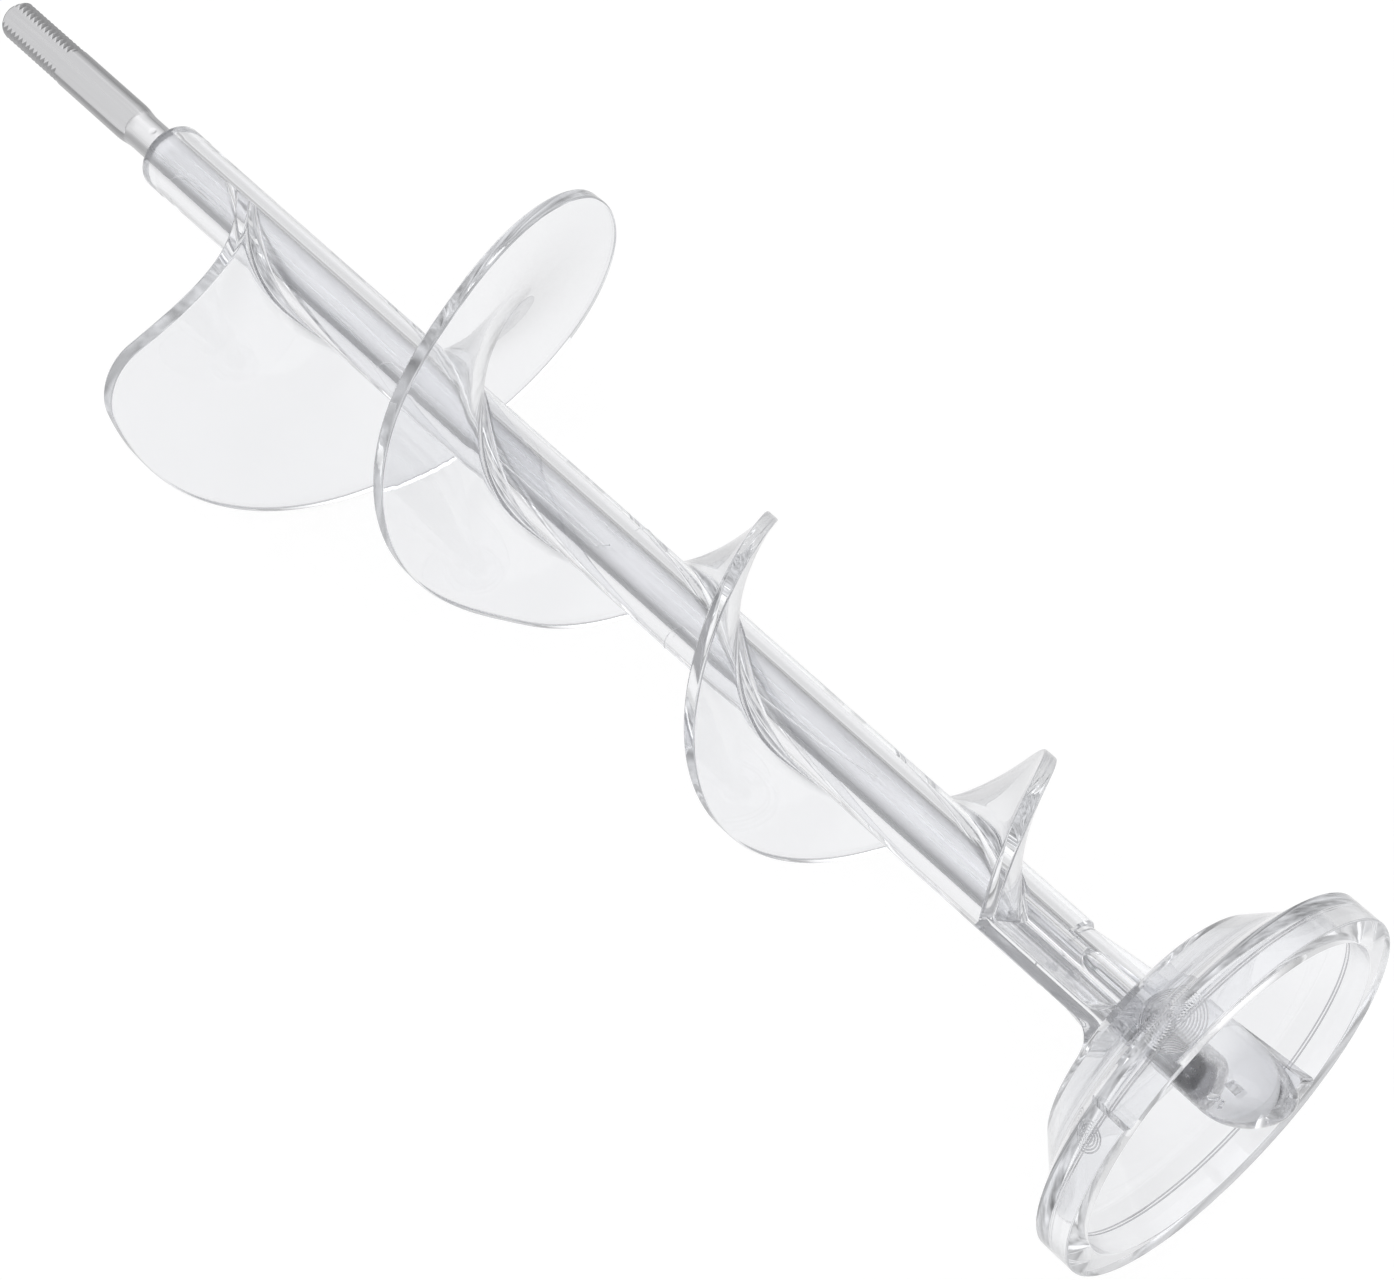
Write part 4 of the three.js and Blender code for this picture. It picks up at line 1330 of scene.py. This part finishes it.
def camera_and_shown_rays(tree):
    """Two masks: 1 for camera rays, and 1 for camera, glossy and transmission rays."""
    path = tree.nodes.new("ShaderNodeLightPath")
    camera = Field(tree, path.outputs["Is Camera Ray"])
    shown = camera
    for label in ("Is Glossy Ray", "Is Transmission Ray"):
        shown = shown.math("MAXIMUM", Field(tree, path.outputs[label]))
    return camera, shown


def stage_world():
    """A pale studio: white where the camera looks, with a flag, a canopy and a dim end for other rays."""
    world = bpy.data.worlds.new("studio")
    world.use_nodes = True
    tree = world.node_tree
    background = tree.nodes["Background"]
    place = tree.nodes.new("ShaderNodeTexCoord")
    split = tree.nodes.new("ShaderNodeSeparateXYZ")
    tree.links.new(place.outputs["Generated"], split.inputs[0])
    end, side, height = (Field(tree, split.outputs[axis]) for axis in "XYZ")
    flag_height = (1.0 - height.smooth_share(*FLAG_TOP)) * height.smooth_share(*FLAG_FOOT)
    flag = side.smooth_share(*FLAG_SIDE) * flag_height
    facing = tree.nodes.new("ShaderNodeVectorMath")
    facing.operation = "DOT_PRODUCT"
    facing.inputs[1].default_value = CANOPY_DIRECTION
    tree.links.new(place.outputs["Generated"], facing.inputs[0])
    depth = Field(tree, tree.nodes.new("ShaderNodeLightPath").outputs["Glossy Depth"])
    caught = depth.math("GREATER_THAN", STUDIO_CAUGHT_DEPTH)
    middle = end.smooth_share(*END_SPREAD)
    canopy = Field(tree, facing.outputs["Value"]).share(*CANOPY_SPREAD) * (1.0 - caught) * middle
    studio = 1.0 - (1.0 - FLAG_LIGHT) * flag + (CANOPY_LIGHT - 1.0) * canopy
    studio = studio - CAUGHT_LOSS * caught - END_LOSS * (1.0 - middle)
    camera, shown = camera_and_shown_rays(tree)
    seen = camera + (1.0 - camera) * studio
    strength = shown * seen + (1.0 - shown) * WORLD_LIGHT
    background.inputs["Color"].default_value = WHITE
    tree.links.new(strength.socket, background.inputs["Strength"])
    bpy.context.scene.world = world


def stage_floor():
    """White paper under the auger, with a light of its own."""
    corners = [(x * FLOOR_HALF, y * FLOOR_HALF, 0) for x, y in ((-1, -1), (1, -1), (1, 1), (-1, 1))]
    floor = new_piece("floor", mesh_from("floor", corners, [(0, 1, 2, 3)]))
    floor.location.z = FLOOR_HEIGHT
    material, tree, shader = new_material("floor_paper")
    shader.inputs["Base Color"].default_value = FLOOR_COLOUR
    shader.inputs["Roughness"].default_value = FLOOR_ROUGHNESS
    shader.inputs["Specular IOR Level"].default_value = 0.0
    shader.inputs["Emission Color"].default_value = WHITE
    camera, shown = camera_and_shown_rays(tree)
    facing = Field(tree, tree.nodes.new("ShaderNodeLayerWeight").outputs["Facing"])
    slant = facing.smooth_share(*SLANT_FACING) * (1.0 - camera)
    glow = shown * (SHOWN_GLOW - SLANT_SHADE * slant) + camera * CAMERA_GLOW + FLOOR_GLOW
    tree.links.new(glow.socket, shader.inputs["Emission Strength"])
    floor.data.materials.append(material)


def stage_lamp(name, place, size, power):
    """A disk lamp that faces the middle of the auger."""
    lamp = bpy.data.lights.new(name, "AREA")
    lamp.shape = "DISK"
    lamp.size = size
    lamp.energy = power
    carrier = bpy.data.objects.new(name, lamp)
    carrier.location = place
    carrier.rotation_euler = (Vector(LAMP_TARGET) - Vector(place)).to_track_quat("-Z", "Y").to_euler()
    bpy.context.scene.collection.objects.link(carrier)


def stage_camera():
    """The camera that sees the auger as the photograph does."""
    camera = bpy.data.cameras.new("camera")
    camera.sensor_fit = "HORIZONTAL"
    camera.sensor_width = SENSOR_WIDTH
    camera.lens = LENS
    camera.clip_end = VIEW_END
    carrier = bpy.data.objects.new("camera", camera)
    axes = Matrix((CAMERA_RIGHT, CAMERA_UP, -Vector(CAMERA_FORWARD))).transposed().to_4x4()
    carrier.matrix_world = Matrix.Translation(CAMERA_PLACE) @ axes
    bpy.context.scene.collection.objects.link(carrier)
    bpy.context.scene.camera = carrier


class AUGER_OT_stage(bpy.types.Operator):
    """Set up the floor, the lamps and the camera"""

    bl_idname = "auger.stage"
    bl_label = "Stage"

    def execute(self, context):
        context.scene.view_settings.view_transform = "Standard"
        stage_world()
        stage_floor()
        for name, lamp in LAMPS.items():
            stage_lamp(name, *lamp)
        stage_camera()
        return {"FINISHED"}


# ---- Add-on ----

class AUGER_PT_parts(bpy.types.Panel):
    """Lists the auger's pieces"""

    bl_label = "Auger"
    bl_idname = "AUGER_PT_parts"
    bl_space_type = "VIEW_3D"
    bl_region_type = "UI"
    bl_category = "Auger"

    def draw(self, context):
        for operator in OPERATORS:
            self.layout.operator(operator.bl_idname)


GROUPS = {
    "auger_shaft": AugerShaftSizes,
    "auger_screw": AugerScrewSizes,
    "auger_cup": AugerCupSizes,
    "auger_looks": AugerLooks,
}
OPERATORS = (AUGER_OT_shaft, AUGER_OT_moulding, AUGER_OT_stage)


def register():
    for item in (*GROUPS.values(), *OPERATORS, AUGER_PT_parts):
        bpy.utils.register_class(item)
    for label, group in GROUPS.items():
        setattr(bpy.types.Scene, label, PointerProperty(type=group))


def unregister():
    for label in GROUPS:
        delattr(bpy.types.Scene, label)
    for item in reversed((*GROUPS.values(), *OPERATORS, AUGER_PT_parts)):
        bpy.utils.unregister_class(item)


def main():
    register()
    bpy.ops.auger.shaft()
    bpy.ops.auger.moulding()
    bpy.ops.auger.stage()
    bpy.context.view_layer.update()


if __name__ == "__main__":
    main()
